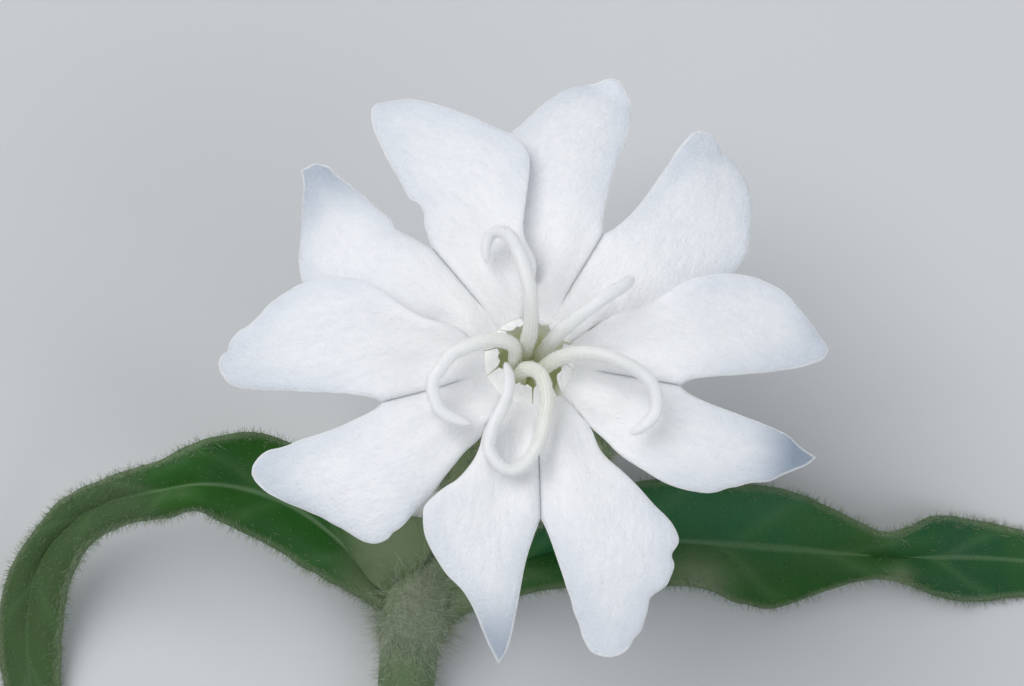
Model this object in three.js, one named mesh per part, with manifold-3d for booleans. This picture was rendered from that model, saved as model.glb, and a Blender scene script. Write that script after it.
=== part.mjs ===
// White campion, Silene latifolia: one female flower, cut with its upper pair of leaves and laid on a
// table. Five white petals, each cut into two lobes, stand on claws inside a ribbed calyx. The ovary is
// at the bottom of the calyx, and its five styles come out of the throat and curl over the petals. A
// short bent stalk carries the flower, so that it faces up while the stem and the leaves lie on the
// table. Millimetres, +Z up, the table at z = 0. The origin is under the middle of the plant, and the
// stem lies along -Y.
import * as THREE from "three";
import { mergeVertices } from "three/addons/utils/BufferGeometryUtils.js";
import Module from "manifold-3d";

const wasm = await Module();
wasm.setup();

// The flower's own frame has its origin in the middle of the throat and +Z out of its face.
const THROAT = new THREE.Vector3(-4.4, 38.5, 23.6);
const LEAN_BACK = THREE.MathUtils.degToRad(17);
const LEAN_RIGHT = THREE.MathUtils.degToRad(3);

const BLADE = 0.6; // the thickness of petals, leaves and the calyx wall
const LIES_BELOW = 0.08; // stem and leaves lie flat on the table where they come this near to it

const WHITE = { color: 0xf4f6fa, roughness: 0.55, metalness: 0 };
const PALE_GREEN = { color: 0xe3ead2, roughness: 0.5, metalness: 0 };
const CALYX_GREEN = { color: 0x8d9c6a, roughness: 0.75, metalness: 0 };
const STEM_GREEN = { color: 0x71875a, roughness: 0.75, metalness: 0 };
const LEAF_GREEN = { color: 0x2f5c2b, roughness: 0.6, metalness: 0 };

const vec = (p) => new THREE.Vector3(p[0], p[1], p[2] ?? 0);
const spline = (points) => new THREE.CatmullRomCurve3(points.map(vec), false, "centripetal");

// A value along a list of [position, value] stations, smoothed between them.
function along(stations, at) {
  const last = stations.length - 1;
  if (at <= stations[0][0]) return stations[0][1];
  if (at >= stations[last][0]) return stations[last][1];
  const i = stations.findIndex((s, k) => k < last && at < stations[k + 1][0]);
  const slope = (k) => {
    const a = stations[Math.max(k - 1, 0)];
    const b = stations[Math.min(k + 1, last)];
    return (b[1] - a[1]) / (b[0] - a[0]);
  };
  const [x0, y0] = stations[i];
  const [x1, y1] = stations[i + 1];
  const h = x1 - x0;
  const t = (at - x0) / h;
  const rise = (3 - 2 * t) * t * t;
  return y0 + (y1 - y0) * rise + h * t * (1 - t) * (slope(i) * (1 - t) - slope(i + 1) * t);
}

function geometryOf(points, triangles) {
  const g = new THREE.BufferGeometry();
  g.setAttribute("position", new THREE.Float32BufferAttribute(points.flatMap((p) => [p.x, p.y, p.z]), 3));
  g.setIndex(triangles.flat());
  return g;
}

// A thin solid round a sheet: its points are moved half the thickness to each side, along the sheet's
// normals, and its free edges are closed by a rim. Both faces have the same triangles.
function sheetSolid(points, triangles, thickness) {
  const normals = points.map(() => new THREE.Vector3());
  const edges = new Map();
  for (const [a, b, c] of triangles) {
    const n = points[b].clone().sub(points[a]).cross(points[c].clone().sub(points[a]));
    for (const i of [a, b, c]) normals[i].add(n);
    for (const [i, j] of [[a, b], [b, c], [c, a]]) {
      if (edges.has(`${j},${i}`)) edges.delete(`${j},${i}`);
      else edges.set(`${i},${j}`, [i, j]);
    }
  }
  const count = points.length;
  for (const n of normals) n.normalize();
  const side = (sign) => points.map((p, i) => p.clone().addScaledVector(normals[i], (sign * thickness) / 2));
  const faces = triangles.map((t) => [...t]);
  for (const [a, b, c] of triangles) faces.push([c + count, b + count, a + count]);
  for (const [i, j] of edges.values()) faces.push([i, i + count, j + count], [i, j + count, j]);
  return { points: [...side(1), ...side(-1)], triangles: faces };
}

// The triangles between two rows of point numbers. A row of one point closes the sheet in a fan.
function between(row, next) {
  const faces = [];
  for (let j = 0; j + 1 < row.length; j++) {
    if (next.length === 1) faces.push([row[j], row[j + 1], next[0]]);
    else faces.push([row[j], row[j + 1], next[j + 1]], [row[j], next[j + 1], next[j]]);
  }
  return faces;
}

// A closed body through rings of points, with a flat fan at each end.
function loft(rings) {
  const sides = rings[0].length;
  const points = rings.flat();
  const triangles = [];
  for (let i = 0; i + 1 < rings.length; i++) {
    for (let j = 0; j < sides; j++) {
      const k = (j + 1) % sides;
      const [a, b, c, d] = [i * sides + j, i * sides + k, (i + 1) * sides + k, (i + 1) * sides + j];
      triangles.push([a, b, c], [a, c, d]);
    }
  }
  for (const [ring, first] of [[rings[0], 0], [rings.at(-1), (rings.length - 1) * sides]]) {
    const middle = ring.reduce((sum, p) => sum.add(p), new THREE.Vector3()).divideScalar(sides);
    points.push(middle);
    for (let j = 0; j < sides; j++) {
      const [a, b] = [first + j, first + ((j + 1) % sides)];
      triangles.push(first === 0 ? [b, a, points.length - 1] : [a, b, points.length - 1]);
    }
  }
  return geometryOf(points, triangles);
}

// Rings round a curve, turned as little as possible from one to the next. The first one has a flat side
// below.
function ringsAlong(curve, steps, sides, radiusAt, firstUp) {
  const rings = [];
  let up = firstUp.clone();
  for (let i = 0; i <= steps; i++) {
    const t = i / steps;
    const tangent = curve.getTangentAt(t);
    up = up.addScaledVector(tangent, -up.dot(tangent)).normalize();
    const across = tangent.clone().cross(up);
    const centre = curve.getPointAt(t);
    const radius = radiusAt(t);
    const ring = [];
    for (let j = 0; j < sides; j++) {
      const angle = ((j + 0.5) / sides) * 2 * Math.PI;
      ring.push(
        centre.clone()
          .addScaledVector(up, -Math.cos(angle) * radius)
          .addScaledVector(across, -Math.sin(angle) * radius),
      );
    }
    rings.push(ring);
  }
  return rings;
}

function solidOf(geometry) {
  const bare = geometry.index ? geometry.toNonIndexed() : geometry.clone();
  bare.deleteAttribute("normal");
  bare.deleteAttribute("uv");
  const merged = mergeVertices(bare, 1e-4);
  const vertProperties = Float32Array.from(merged.attributes.position.array);
  const triVerts = Uint32Array.from(merged.index.array);
  return new wasm.Manifold(new wasm.Mesh({ numProp: 3, vertProperties, triVerts }));
}

// One body out of several that are sunk into each other. Edges shorter than sliver are left out.
function fused(geometries, sliver) {
  const whole = geometries.map(solidOf).reduce((a, b) => a.add(b)).asOriginal().simplify(sliver).getMesh();
  const g = new THREE.BufferGeometry();
  g.setAttribute("position", new THREE.Float32BufferAttribute(whole.vertProperties, 3));
  g.setIndex(Array.from(whole.triVerts));
  return g;
}

function named(name, geometry, look) {
  const mesh = new THREE.Mesh(geometry, new THREE.MeshStandardMaterial(look));
  mesh.name = name;
  return mesh;
}

// Petals. Each outline is in the flower's frame: where the notch is, and for the lobe on the left of the
// petal's own middle line and the one on its right, the side towards the notch and the side away from it,
// both running out to the tip. root is how many degrees from the middle line the outer side leaves the
// throat. edge is how far the outer side stands above the lobe's middle, over the next petal, or hangs
// below it. droop bends the tip down.
const PETALS = [
  {
    name: "petal_upper_right", bearing: 61, notch: [3.65, 6.45],
    left: {
      inner: [
          [3.65, 7.2], [3.85, 8.3], [4.35, 10.1], [4.85, 11.45], [5.15, 12.7], [5.25, 13.75], [5.0, 14.45],
      ],
      tip: [4.7, 15.15],
      outer: [
          [0.45, 4.15], [0.1, 4.9], [-0.5, 6.3], [-1.2, 8.1], [-1.4, 10.1], [-1.2, 11.6], [-0.35, 12.7],
          [0.45, 13.55], [1.3, 14.4], [2.1, 14.95], [2.75, 15.15], [3.45, 15.15], [4.2, 15.3],
      ],
      root: 30, edge: -0.9, droop: 0.4,
    },
    right: {
      inner: [[4.2, 6.75], [5.0, 7.5], [6.5, 9.65], [7.3, 10.95], [7.7, 11.55]],
      tip: [8.2, 12.15],
      outer: [
          [3.1, 1.95], [4.4, 2.1], [6.6, 2.0], [8.9, 2.95], [10.25, 4.95], [10.75, 5.75], [11.0, 6.65],
          [11.2, 8.75], [11.1, 9.6], [10.65, 10.65], [10.1, 11.25], [9.75, 11.4], [9.55, 11.9],
          [9.2, 12.2], [8.7, 12.3],
      ],
      root: 30, edge: -0.9, droop: 0.2,
    },
  },
  {
    name: "petal_upper_left", bearing: 132, notch: [-4.8, 5.55],
    left: {
      inner: [
          [-5.55, 5.95], [-6.55, 6.55], [-6.75, 7.05], [-7.35, 7.6], [-8.25, 8.55], [-9.0, 9.2],
          [-9.5, 9.6], [-9.85, 10.05],
      ],
      tip: [-10.35, 10.25],
      outer: [
          [-4.3, 1.9], [-7.0, 1.6], [-9.3, 2.2], [-11.0, 3.95], [-11.25, 5.1], [-11.2, 7.3], [-11.15, 9.4],
          [-11.25, 10.0], [-11.0, 10.1], [-10.7, 10.25],
      ],
      root: 28, edge: -0.9, droop: 0.4,
    },
    right: {
      inner: [
          [-5.15, 6.7], [-5.2, 7.35], [-5.5, 7.9], [-5.85, 8.1], [-6.35, 9.1], [-6.95, 10.25],
          [-7.45, 11.5], [-7.8, 12.4], [-7.85, 13.05], [-7.8, 13.35],
      ],
      tip: [-7.6, 13.6],
      outer: [
          [0.0, 3.9], [0.05, 4.9], [-0.35, 6.3], [-0.2, 8.0], [-0.05, 9.35], [-0.1, 10.4], [-0.55, 11.2],
          [-1.4, 11.7], [-3.0, 12.55], [-4.25, 13.1], [-5.1, 13.45], [-5.95, 13.7], [-6.8, 13.7],
      ],
      root: 30, edge: 0.45, droop: 0.3,
    },
  },
  {
    name: "petal_left", bearing: 200, notch: [-7.1, -2.35],
    left: {
      inner: [
          [-7.55, -2.75], [-8.35, -3.15], [-9.3, -3.55], [-10.85, -4.0], [-11.95, -4.35], [-12.5, -4.45],
          [-12.85, -4.65], [-13.25, -5.2],
      ],
      tip: [-13.3, -5.65],
      outer: [
          [-2.1, -2.9], [-2.55, -3.85], [-3.45, -5.1], [-4.1, -5.95], [-4.7, -6.75], [-5.45, -7.55],
          [-6.15, -8.35], [-6.5, -8.55], [-6.75, -8.85], [-7.2, -9.05], [-7.5, -9.05], [-8.1, -8.8],
          [-9.55, -7.9], [-10.8, -7.3], [-12.55, -6.5], [-13.05, -6.05],
      ],
      root: 31, edge: -0.6, droop: 0.5,
    },
    right: {
      inner: [[-7.9, -2.1], [-8.85, -1.95], [-10.9, -1.75], [-14.0, -1.4], [-14.55, -1.15], [-14.9, -0.7]],
      tip: [-15.05, -0.2],
      outer: [
          [-3.3, 1.05], [-4.35, 1.35], [-5.25, 1.75], [-6.0, 2.15], [-7.0, 2.9], [-7.65, 3.35],
          [-8.5, 3.7], [-9.35, 3.8], [-10.15, 3.75], [-11.15, 3.5], [-12.0, 3.05], [-12.8, 2.4],
          [-13.55, 1.6], [-14.1, 1.3], [-14.5, 0.8], [-14.6, 0.4], [-14.9, 0.2],
      ],
      root: 31, edge: 0.45, droop: 0.3,
    },
  },
  {
    name: "petal_lower", bearing: 274.5, notch: [0.5, -7.9],
    left: {
      inner: [
          [0.7, -8.3], [1.05, -9.25], [1.75, -11.2], [2.3, -12.75], [2.65, -13.7], [2.95, -14.15],
          [3.45, -14.35],
      ],
      tip: [3.9, -14.4],
      outer: [
          [2.1, -2.85], [2.8, -3.65], [3.6, -4.8], [4.45, -5.6], [5.1, -6.25], [6.0, -7.25], [6.75, -8.0],
          [7.1, -8.65], [7.1, -9.0], [6.8, -9.55], [6.9, -10.0], [6.8, -10.4], [6.6, -10.9], [5.85, -11.5],
          [5.7, -11.95], [5.35, -13.05], [5.0, -13.5], [4.75, -13.95], [4.35, -14.25],
      ],
      root: 33, edge: -0.35, droop: 0.3,
    },
    right: {
      inner: [[0.35, -8.3], [-0.15, -9.8], [-0.35, -10.8], [-0.7, -12.7], [-0.85, -13.45], [-1.0, -13.95]],
      tip: [-1.4, -14.6],
      outer: [
          [-1.5, -2.85], [-2.1, -4.1], [-2.45, -4.8], [-2.85, -5.5], [-3.5, -6.25], [-4.05, -6.6],
          [-4.65, -7.1], [-5.05, -7.55], [-5.1, -7.95], [-5.0, -8.85], [-4.0, -10.6], [-3.15, -11.45],
          [-2.75, -12.0], [-1.9, -13.7],
      ],
      root: 34, edge: 0.3, droop: 0.8,
    },
  },
  {
    name: "petal_right", bearing: 349.3, notch: [7.25, -1.3],
    left: {
      inner: [[7.7, -1.05], [8.45, -0.9], [9.9, -0.7], [11.5, -0.4], [13.5, 0.1], [14.5, 0.55]],
      tip: [14.8, 1.05],
      outer: [
          [3.3, 1.4], [4.35, 2.05], [6.05, 2.8], [7.0, 3.45], [7.85, 3.95], [8.95, 4.25], [10.15, 4.4],
          [11.55, 4.15], [12.55, 3.65], [13.3, 2.9], [14.1, 2.0], [14.6, 1.4],
      ],
      root: 31, edge: 0.45, droop: 0.4,
    },
    right: {
      inner: [[7.65, -1.65], [8.45, -2.05], [10.4, -2.65], [12.5, -3.35], [13.2, -3.9]],
      tip: [14.05, -4.35],
      outer: [
          [2.45, -2.4], [3.15, -3.3], [4.2, -4.65], [5.3, -5.45], [6.6, -6.15], [8.0, -6.45], [8.8, -6.45],
          [9.65, -6.15], [10.75, -5.85], [11.7, -5.65], [12.7, -5.2], [13.6, -4.75],
      ],
      root: 33, edge: -0.35, droop: 0.6,
    },
  },
];

// Side view of every petal: radius and height from the foot of the claw, over the throat's edge, to the
// tips.
const CLAW_FOOT = -16.9;
const CLAW_RADIUS = [[-16.9, 2.3], [-15, 3.25], [-12.5, 3.6], [-9, 3.2], [-5, 2.2], [-1.6, 1.8]];
const CLAW_HALF_WIDTH = [[-16.9, 0.45], [-12, 0.6], [-5, 0.85], [-1.6, 0.88]];
const CLAW_TOP = -1.6;
const CLAW_ROWS = 6;
const LIMB_START = 2.5;
const LIMB_HEIGHT = [[2.5, -0.8], [3.4, -0.25], [5, 0.05], [8, 0.2], [11, -0.05], [15.5, -0.9]];
const EDGE_FROM = 3.0; // the radius where the sides start to rise or dip, and where they have done so in full
const EDGE_FULL = 5.2;
const CREASE = 0.3; // how far the petal's middle line and the notch lie under the middle of the lobes
const CREASE_FULL = 7;
const DROOP_FROM = 7; // the radius where the lobes start to bend down, and where that would be complete
const DROOP_FULL = 17;
const BASE_ROWS = 6;
const LOBE_ROWS = 14;
const LOBE_COLUMNS = 4;
const TIP_CLOSING = 1.15; // rows lie closer together towards the tip
const TIP_FLATTENS = [0.9, 3.5]; // a lobe flattens out towards its tip between these widths

// A point of the limb: share 0 is on the petal's middle line or its notch, share 1 on its outer side.
function petalPoint(x, y, share, lobe, relief) {
  const radius = Math.hypot(x, y);
  const edge = lobe.edge * THREE.MathUtils.smoothstep(radius, EDGE_FROM, EDGE_FULL) * share ** 1.6;
  const crease = -CREASE * THREE.MathUtils.smoothstep(radius, LIMB_START, CREASE_FULL) * (1 - share) ** 2;
  const droop = -lobe.droop * THREE.MathUtils.smoothstep(radius, DROOP_FROM, DROOP_FULL) * 2;
  return new THREE.Vector3(x, y, along(LIMB_HEIGHT, radius) + (edge + crease) * relief + droop);
}

// A flat spline through the points, sampled at a share of its length, and the share at which it is level
// with the notch, measured along the petal's middle line.
function sideOf(points) {
  const curve = spline(points);
  return (share) => curve.getPointAt(THREE.MathUtils.clamp(share, 0, 1));
}

function shareLevelWith(side, direction, level) {
  let share = 0;
  while (share < 1 && side(share).dot(direction) < level) share += 0.005;
  return share;
}

function petalSheet(petal) {
  const bearing = THREE.MathUtils.degToRad(petal.bearing);
  const direction = new THREE.Vector3(Math.cos(bearing), Math.sin(bearing), 0);
  const points = [];
  const triangles = [];
  const add = (row) => row.map((p) => points.push(p) - 1);
  const shares = [...Array(LOBE_COLUMNS + 1).keys()].map((j) => j / LOBE_COLUMNS);

  // The claw curves round the throat, from its foot up.
  let last = null;
  const joinTo = (row) => {
    if (last) triangles.push(...between(last, row));
    last = row;
  };
  for (let i = 0; i < CLAW_ROWS; i++) {
    const z = THREE.MathUtils.lerp(CLAW_FOOT, CLAW_TOP, i / (CLAW_ROWS - 1));
    const radius = along(CLAW_RADIUS, z);
    const half = along(CLAW_HALF_WIDTH, z) / radius;
    const row = [];
    for (let j = -LOBE_COLUMNS; j <= LOBE_COLUMNS; j++) {
      const angle = bearing - (half * j) / LOBE_COLUMNS;
      row.push(new THREE.Vector3(radius * Math.cos(angle), radius * Math.sin(angle), z));
    }
    joinTo(add(row));
  }

  // The limb, from the throat to the notch, in one piece across both lobes.
  const at = (turnDeg) => {
    const angle = bearing + THREE.MathUtils.degToRad(turnDeg);
    return [LIMB_START * Math.cos(angle), LIMB_START * Math.sin(angle)];
  };
  const leftSide = sideOf([at(petal.left.root), ...petal.left.outer, petal.left.tip]);
  const rightSide = sideOf([at(-petal.right.root), ...petal.right.outer, petal.right.tip]);
  const notch = vec(petal.notch);
  const level = notch.dot(direction);
  const leftWaist = shareLevelWith(leftSide, direction, level);
  const rightWaist = shareLevelWith(rightSide, direction, level);
  for (let i = 0; i <= BASE_ROWS; i++) {
    const t = i / BASE_ROWS;
    const middle = vec(at(0)).lerp(notch, t);
    const left = leftSide(leftWaist * t);
    const right = rightSide(rightWaist * t);
    const fromLeft = shares.toReversed().map((s) => {
      const p = middle.clone().lerp(left, s);
      return petalPoint(p.x, p.y, s, petal.left, 1);
    });
    const toRight = shares.slice(1).map((s) => {
      const p = middle.clone().lerp(right, s);
      return petalPoint(p.x, p.y, s, petal.right, 1);
    });
    joinTo(add([...fromLeft, ...toRight]));
  }

  // The two lobes, from the notch to their tips. Their rows close up towards the tip.
  const notchRow = last;
  const lobes = [
    { lobe: petal.left, side: leftSide, waist: leftWaist, reversed: true },
    { lobe: petal.right, side: rightSide, waist: rightWaist, reversed: false },
  ];
  for (const { lobe, side, waist, reversed } of lobes) {
    const innerSide = sideOf([petal.notch, ...lobe.inner, lobe.tip]);
    last = reversed ? notchRow.slice(0, LOBE_COLUMNS + 1) : notchRow.slice(LOBE_COLUMNS);
    for (let i = 1; i <= LOBE_ROWS; i++) {
      const t = 1 - (1 - i / LOBE_ROWS) ** TIP_CLOSING;
      const inner = innerSide(t);
      const outer = side(waist + (1 - waist) * t);
      const relief = THREE.MathUtils.smoothstep(inner.distanceTo(outer), ...TIP_FLATTENS);
      const row = (i < LOBE_ROWS ? shares : [0]).map((s) => {
        const p = inner.clone().lerp(outer, s);
        return petalPoint(p.x, p.y, s, lobe, relief);
      });
      joinTo(add(reversed ? row.toReversed() : row));
    }
  }
  return sheetSolid(points, triangles, BLADE);
}

// The two small scales that stand where a petal's limb leaves its claw, with three blunt teeth each.
const SCALE = { width: 0.9, height: 1.75, thickness: 0.5, radius: 2.12, foot: -1.5, spread: 16, lean: 13 };
const SCALE_SLIVER = 0.022;

function scaleGeometry(bearingDeg) {
  const half = SCALE.width / 2;
  const outline = new THREE.Shape();
  outline.moveTo(-half, 0);
  outline.lineTo(-half * 0.78, SCALE.height * 0.8);
  outline.lineTo(-half * 0.5, SCALE.height * 0.98);
  outline.lineTo(-half * 0.3, SCALE.height * 0.87);
  outline.lineTo(0, SCALE.height);
  outline.lineTo(half * 0.3, SCALE.height * 0.87);
  outline.lineTo(half * 0.5, SCALE.height * 0.98);
  outline.lineTo(half * 0.78, SCALE.height * 0.8);
  outline.lineTo(half, 0);
  const g = new THREE.ExtrudeGeometry(outline, { depth: SCALE.thickness, bevelEnabled: false });
  g.translate(0, 0, -SCALE.thickness / 2);
  g.rotateX(Math.PI / 2 - THREE.MathUtils.degToRad(SCALE.lean));
  g.rotateZ(Math.PI / 2);
  g.translate(SCALE.radius, 0, SCALE.foot);
  g.rotateZ(THREE.MathUtils.degToRad(bearingDeg));
  return g;
}

function petalGeometry(petal) {
  const { points, triangles } = petalSheet(petal);
  const scales = [-SCALE.spread, SCALE.spread].map((turn) => scaleGeometry(petal.bearing + turn));
  return fused([geometryOf(points, triangles), ...scales], SCALE_SLIVER);
}

// The calyx: a ribbed, slightly blown-up cup, with five teeth between the petals. It is one wall all
// over, and its bottom is the receptacle that the petals and the ovary stand on.
const CALYX_MOUTH = -3.5;
const CALYX_BASE = -19;
const CALYX_FLOOR = -17.9;
const CALYX_RADIUS = [
  [-19, 1.5], [-18.2, 2.8], [-16.5, 4.05], [-13, 5.0], [-9.5, 5.05], [-6, 4.25], [-3.5, 3.6],
];
const CALYX_RIBS = 20;
const RIB_HEIGHT = 0.22;
const CALYX_FLOOR_RADIUS = 1.9;
const TOOTH = { count: 5, length: 2.3, bay: 0.15, bevel: 0.25, spread: 0.75, firstBearing: 25 };
const CALYX_WALL_ROWS = 11;
const TOOTH_ROWS = 3;

function calyxGeometry() {
  const columns = CALYX_RIBS * 2;
  const columnsPerTooth = columns / TOOTH.count;
  const ring = (radiusAt, heightAt) =>
    [...Array(columns).keys()].map((j) => {
      const angle = THREE.MathUtils.degToRad(TOOTH.firstBearing) + (j / columns) * 2 * Math.PI;
      const r = radiusAt(j);
      return new THREE.Vector3(r * Math.cos(angle), r * Math.sin(angle), heightAt(j));
    });
  const rib = (j) => (j % 2 === 0 ? RIB_HEIGHT : 0);
  // 1 at the point of a tooth, least in the bay between two teeth
  const tooth = (j) => {
    const off = Math.abs(((j + columnsPerTooth / 2) % columnsPerTooth) - columnsPerTooth / 2);
    return THREE.MathUtils.lerp(TOOTH.bay, 1, (1 - off / (columnsPerTooth / 2)) ** 1.5);
  };
  const levels = [...Array(CALYX_WALL_ROWS).keys()].map((i) =>
    THREE.MathUtils.lerp(CALYX_BASE, CALYX_MOUTH, (i / (CALYX_WALL_ROWS - 1)) ** 1.2),
  );
  const mouthRadius = along(CALYX_RADIUS, CALYX_MOUTH);
  const toothRing = (t, inset) => {
    const fade = inset ? 0 : 1 - t;
    const bevel = inset ? 0 : TOOTH.bevel * t;
    return ring(
      (j) => mouthRadius - inset + rib(j) * fade + TOOTH.spread * tooth(j) * t ** 1.3,
      (j) => CALYX_MOUTH + TOOTH.length * tooth(j) * t - bevel,
    );
  };
  const outside = levels.map((z, i) => ring((j) => along(CALYX_RADIUS, z) + (i ? rib(j) : 0), () => z));
  const inside = levels.filter((z) => z > CALYX_FLOOR + 0.4).reverse();
  const rings = [...outside];
  for (let i = 1; i <= TOOTH_ROWS; i++) rings.push(toothRing(i / TOOTH_ROWS, 0));
  for (let i = TOOTH_ROWS; i >= 1; i--) rings.push(toothRing(i / TOOTH_ROWS, BLADE));
  for (const z of inside) rings.push(ring(() => along(CALYX_RADIUS, z) - BLADE, () => z));
  rings.push(ring(() => CALYX_FLOOR_RADIUS, () => CALYX_FLOOR));
  return loft(rings);
}

// The pistil: an egg-shaped ovary with five styles. Each style rises through the throat and curls out
// over the petals; its points are where its middle line passes, in the flower's frame.
const OVARY = [
  [0, -17.6], [1.3, -17.5], [2.0, -16.2], [2.5, -14.2], [2.5, -12.2], [2.0, -10.2], [1.2, -8.8], [0, -8.4],
];
const OVARY_SIDES = 16;
const STYLE_RADIUS = [0.42, 0.27];
const STYLE_SIDES = 6;
const STYLE_STEP = 0.62;
const STYLE_SLIVER = 0.022;
const STYLES = [
  [
    [0.0, 0.7, -9.3], [0.0, 0.65, -4], [-0.15, 0.45, -1.8], [-0.2, 0.4, 0.2], [-0.1, 0.75, 1.8],
    [-0.1, 1.5, 2.7], [-0.2, 2.4, 3.3], [-0.5, 3.5, 3.4], [-0.9, 4.7, 3.1], [-1.4, 5.5, 2.5],
    [-1.9, 5.6, 2.0], [-2.2, 5.1, 1.7], [-2.2, 4.2, 1.6],
  ],
  [
    [0.67, 0.2, -9.3], [0.65, 0.2, -4], [0.45, 0.15, -1.8], [0.7, 0.35, -0.2], [1.2, 0.75, 1.1],
    [1.9, 1.2, 2.0], [2.7, 1.7, 2.5], [3.5, 2.3, 2.6], [4.3, 2.9, 2.4], [4.9, 3.5, 1.9],
  ],
  [
    [0.4, -0.55, -9.3], [0.45, -0.55, -4], [0.35, -0.5, -1.8], [0.65, -0.5, -0.2], [1.35, -0.35, 1.1],
    [2.4, -0.3, 1.9], [3.4, -0.5, 2.2], [4.3, -0.9, 2.3], [5.1, -1.3, 2.2], [5.7, -1.9, 2.1],
    [5.9, -2.6, 1.9], [5.8, -3.3, 1.7], [5.3, -3.8, 1.6], [4.7, -4.2, 1.5],
  ],
  [
    [-0.4, -0.55, -9.3], [-0.4, -0.55, -4], [-0.4, -0.65, -1.8], [-0.4, -0.75, 0.1], [-0.1, -0.85, 0.9],
    [0.35, -1.15, 1.3], [0.6, -1.8, 1.5], [0.7, -2.7, 1.5], [0.6, -3.5, 1.45], [0.4, -4.4, 1.4],
    [0.0, -5.2, 1.35], [-0.5, -5.8, 1.35], [-1.1, -6.0, 1.35], [-1.6, -5.7, 1.4], [-2.0, -5.1, 1.4],
    [-2.0, -4.5, 1.4], [-1.8, -3.8, 1.5], [-1.45, -3.1, 1.65], [-1.15, -2.3, 1.75], [-1.1, -1.5, 1.7],
    [-1.25, -0.7, 1.4],
  ],
  [
    [-0.67, 0.2, -9.3], [-0.7, 0.1, -4], [-0.7, 0.0, -1.8], [-0.75, -0.15, 0.2], [-0.85, 0.15, 1.2],
    [-1.4, 0.3, 1.7], [-2.2, 0.2, 1.95], [-3.0, -0.1, 2.05], [-3.8, -0.5, 2.0], [-4.3, -1.1, 1.9],
    [-4.7, -1.7, 1.75], [-4.7, -2.4, 1.6], [-4.4, -3.1, 1.5], [-3.8, -3.5, 1.4], [-2.9, -3.8, 1.4],
  ],
];

function pistilGeometry() {
  const ovary = new THREE.LatheGeometry(OVARY.map(([r, z]) => new THREE.Vector2(r, z)), OVARY_SIDES);
  ovary.rotateX(Math.PI / 2);
  const styles = STYLES.map((points) => {
    const curve = spline(points);
    const steps = Math.round(curve.getLength() / STYLE_STEP);
    const radiusAt = (t) => THREE.MathUtils.lerp(...STYLE_RADIUS, t);
    return loft(ringsAlong(curve, steps, STYLE_SIDES, radiusAt, new THREE.Vector3(1, 0, 0)));
  });
  return fused([ovary, ...styles], STYLE_SLIVER);
}

// The stem: from the stalk's top under the calyx, down through its bend and the joint where the leaves
// grow, to the slanting cut. Points are measured from the spot on the table under the throat; past the
// joint it lies flat. Its radius goes with the distance from the calyx.
const STEM_SIDES = 12;
const STEM_STEPS = 44;
const STALK = [
  [-1.02, -5.75, 4.9], [-1.2, -6.3, 3.9], [-1.9, -7.7, 2.6], [-3.2, -9.8, 1.9], [-4.7, -11.9, 1.8],
];
const JOINT = [-6.0, -13.7, 2.0];
const LYING = [
  [-6.5, -15.6], [-6.8, -18.5], [-7.2, -25], [-7.3, -40], [-6.0, -58], [-4.4, -76], [-3.8, -90],
];
const STEM_RADIUS = [
  [0, 1.25], [1.6, 1.05], [5.5, 1.05], [8.5, 1.35], [11.2, 2.2], [14, 1.65], [25, 1.6], [88, 1.75],
];
const CUT_SLANT = 0.7;

function stemGeometry() {
  const flatSide = Math.cos(Math.PI / STEM_SIDES);
  const curve = spline([...STALK, JOINT, ...LYING.map(([x, y]) => [x, y, 1.6])].reverse());
  const length = curve.getLength();
  const radiusAt = (t) => along(STEM_RADIUS, (1 - t) * length);
  const rings = ringsAlong(curve, STEM_STEPS, STEM_SIDES, radiusAt, new THREE.Vector3(0, 0, 1));
  rings.forEach((ring, i) => {
    const t = i / STEM_STEPS;
    const centre = curve.getPointAt(t);
    const settle = centre.y < JOINT[1] ? radiusAt(t) * flatSide - centre.z : 0;
    for (const p of ring) {
      if (i === 0) p.y += (p.z - centre.z) * CUT_SLANT;
      p.z += settle;
      if (p.z < LIES_BELOW) p.z = 0;
    }
  });
  return loft(rings);
}

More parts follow.
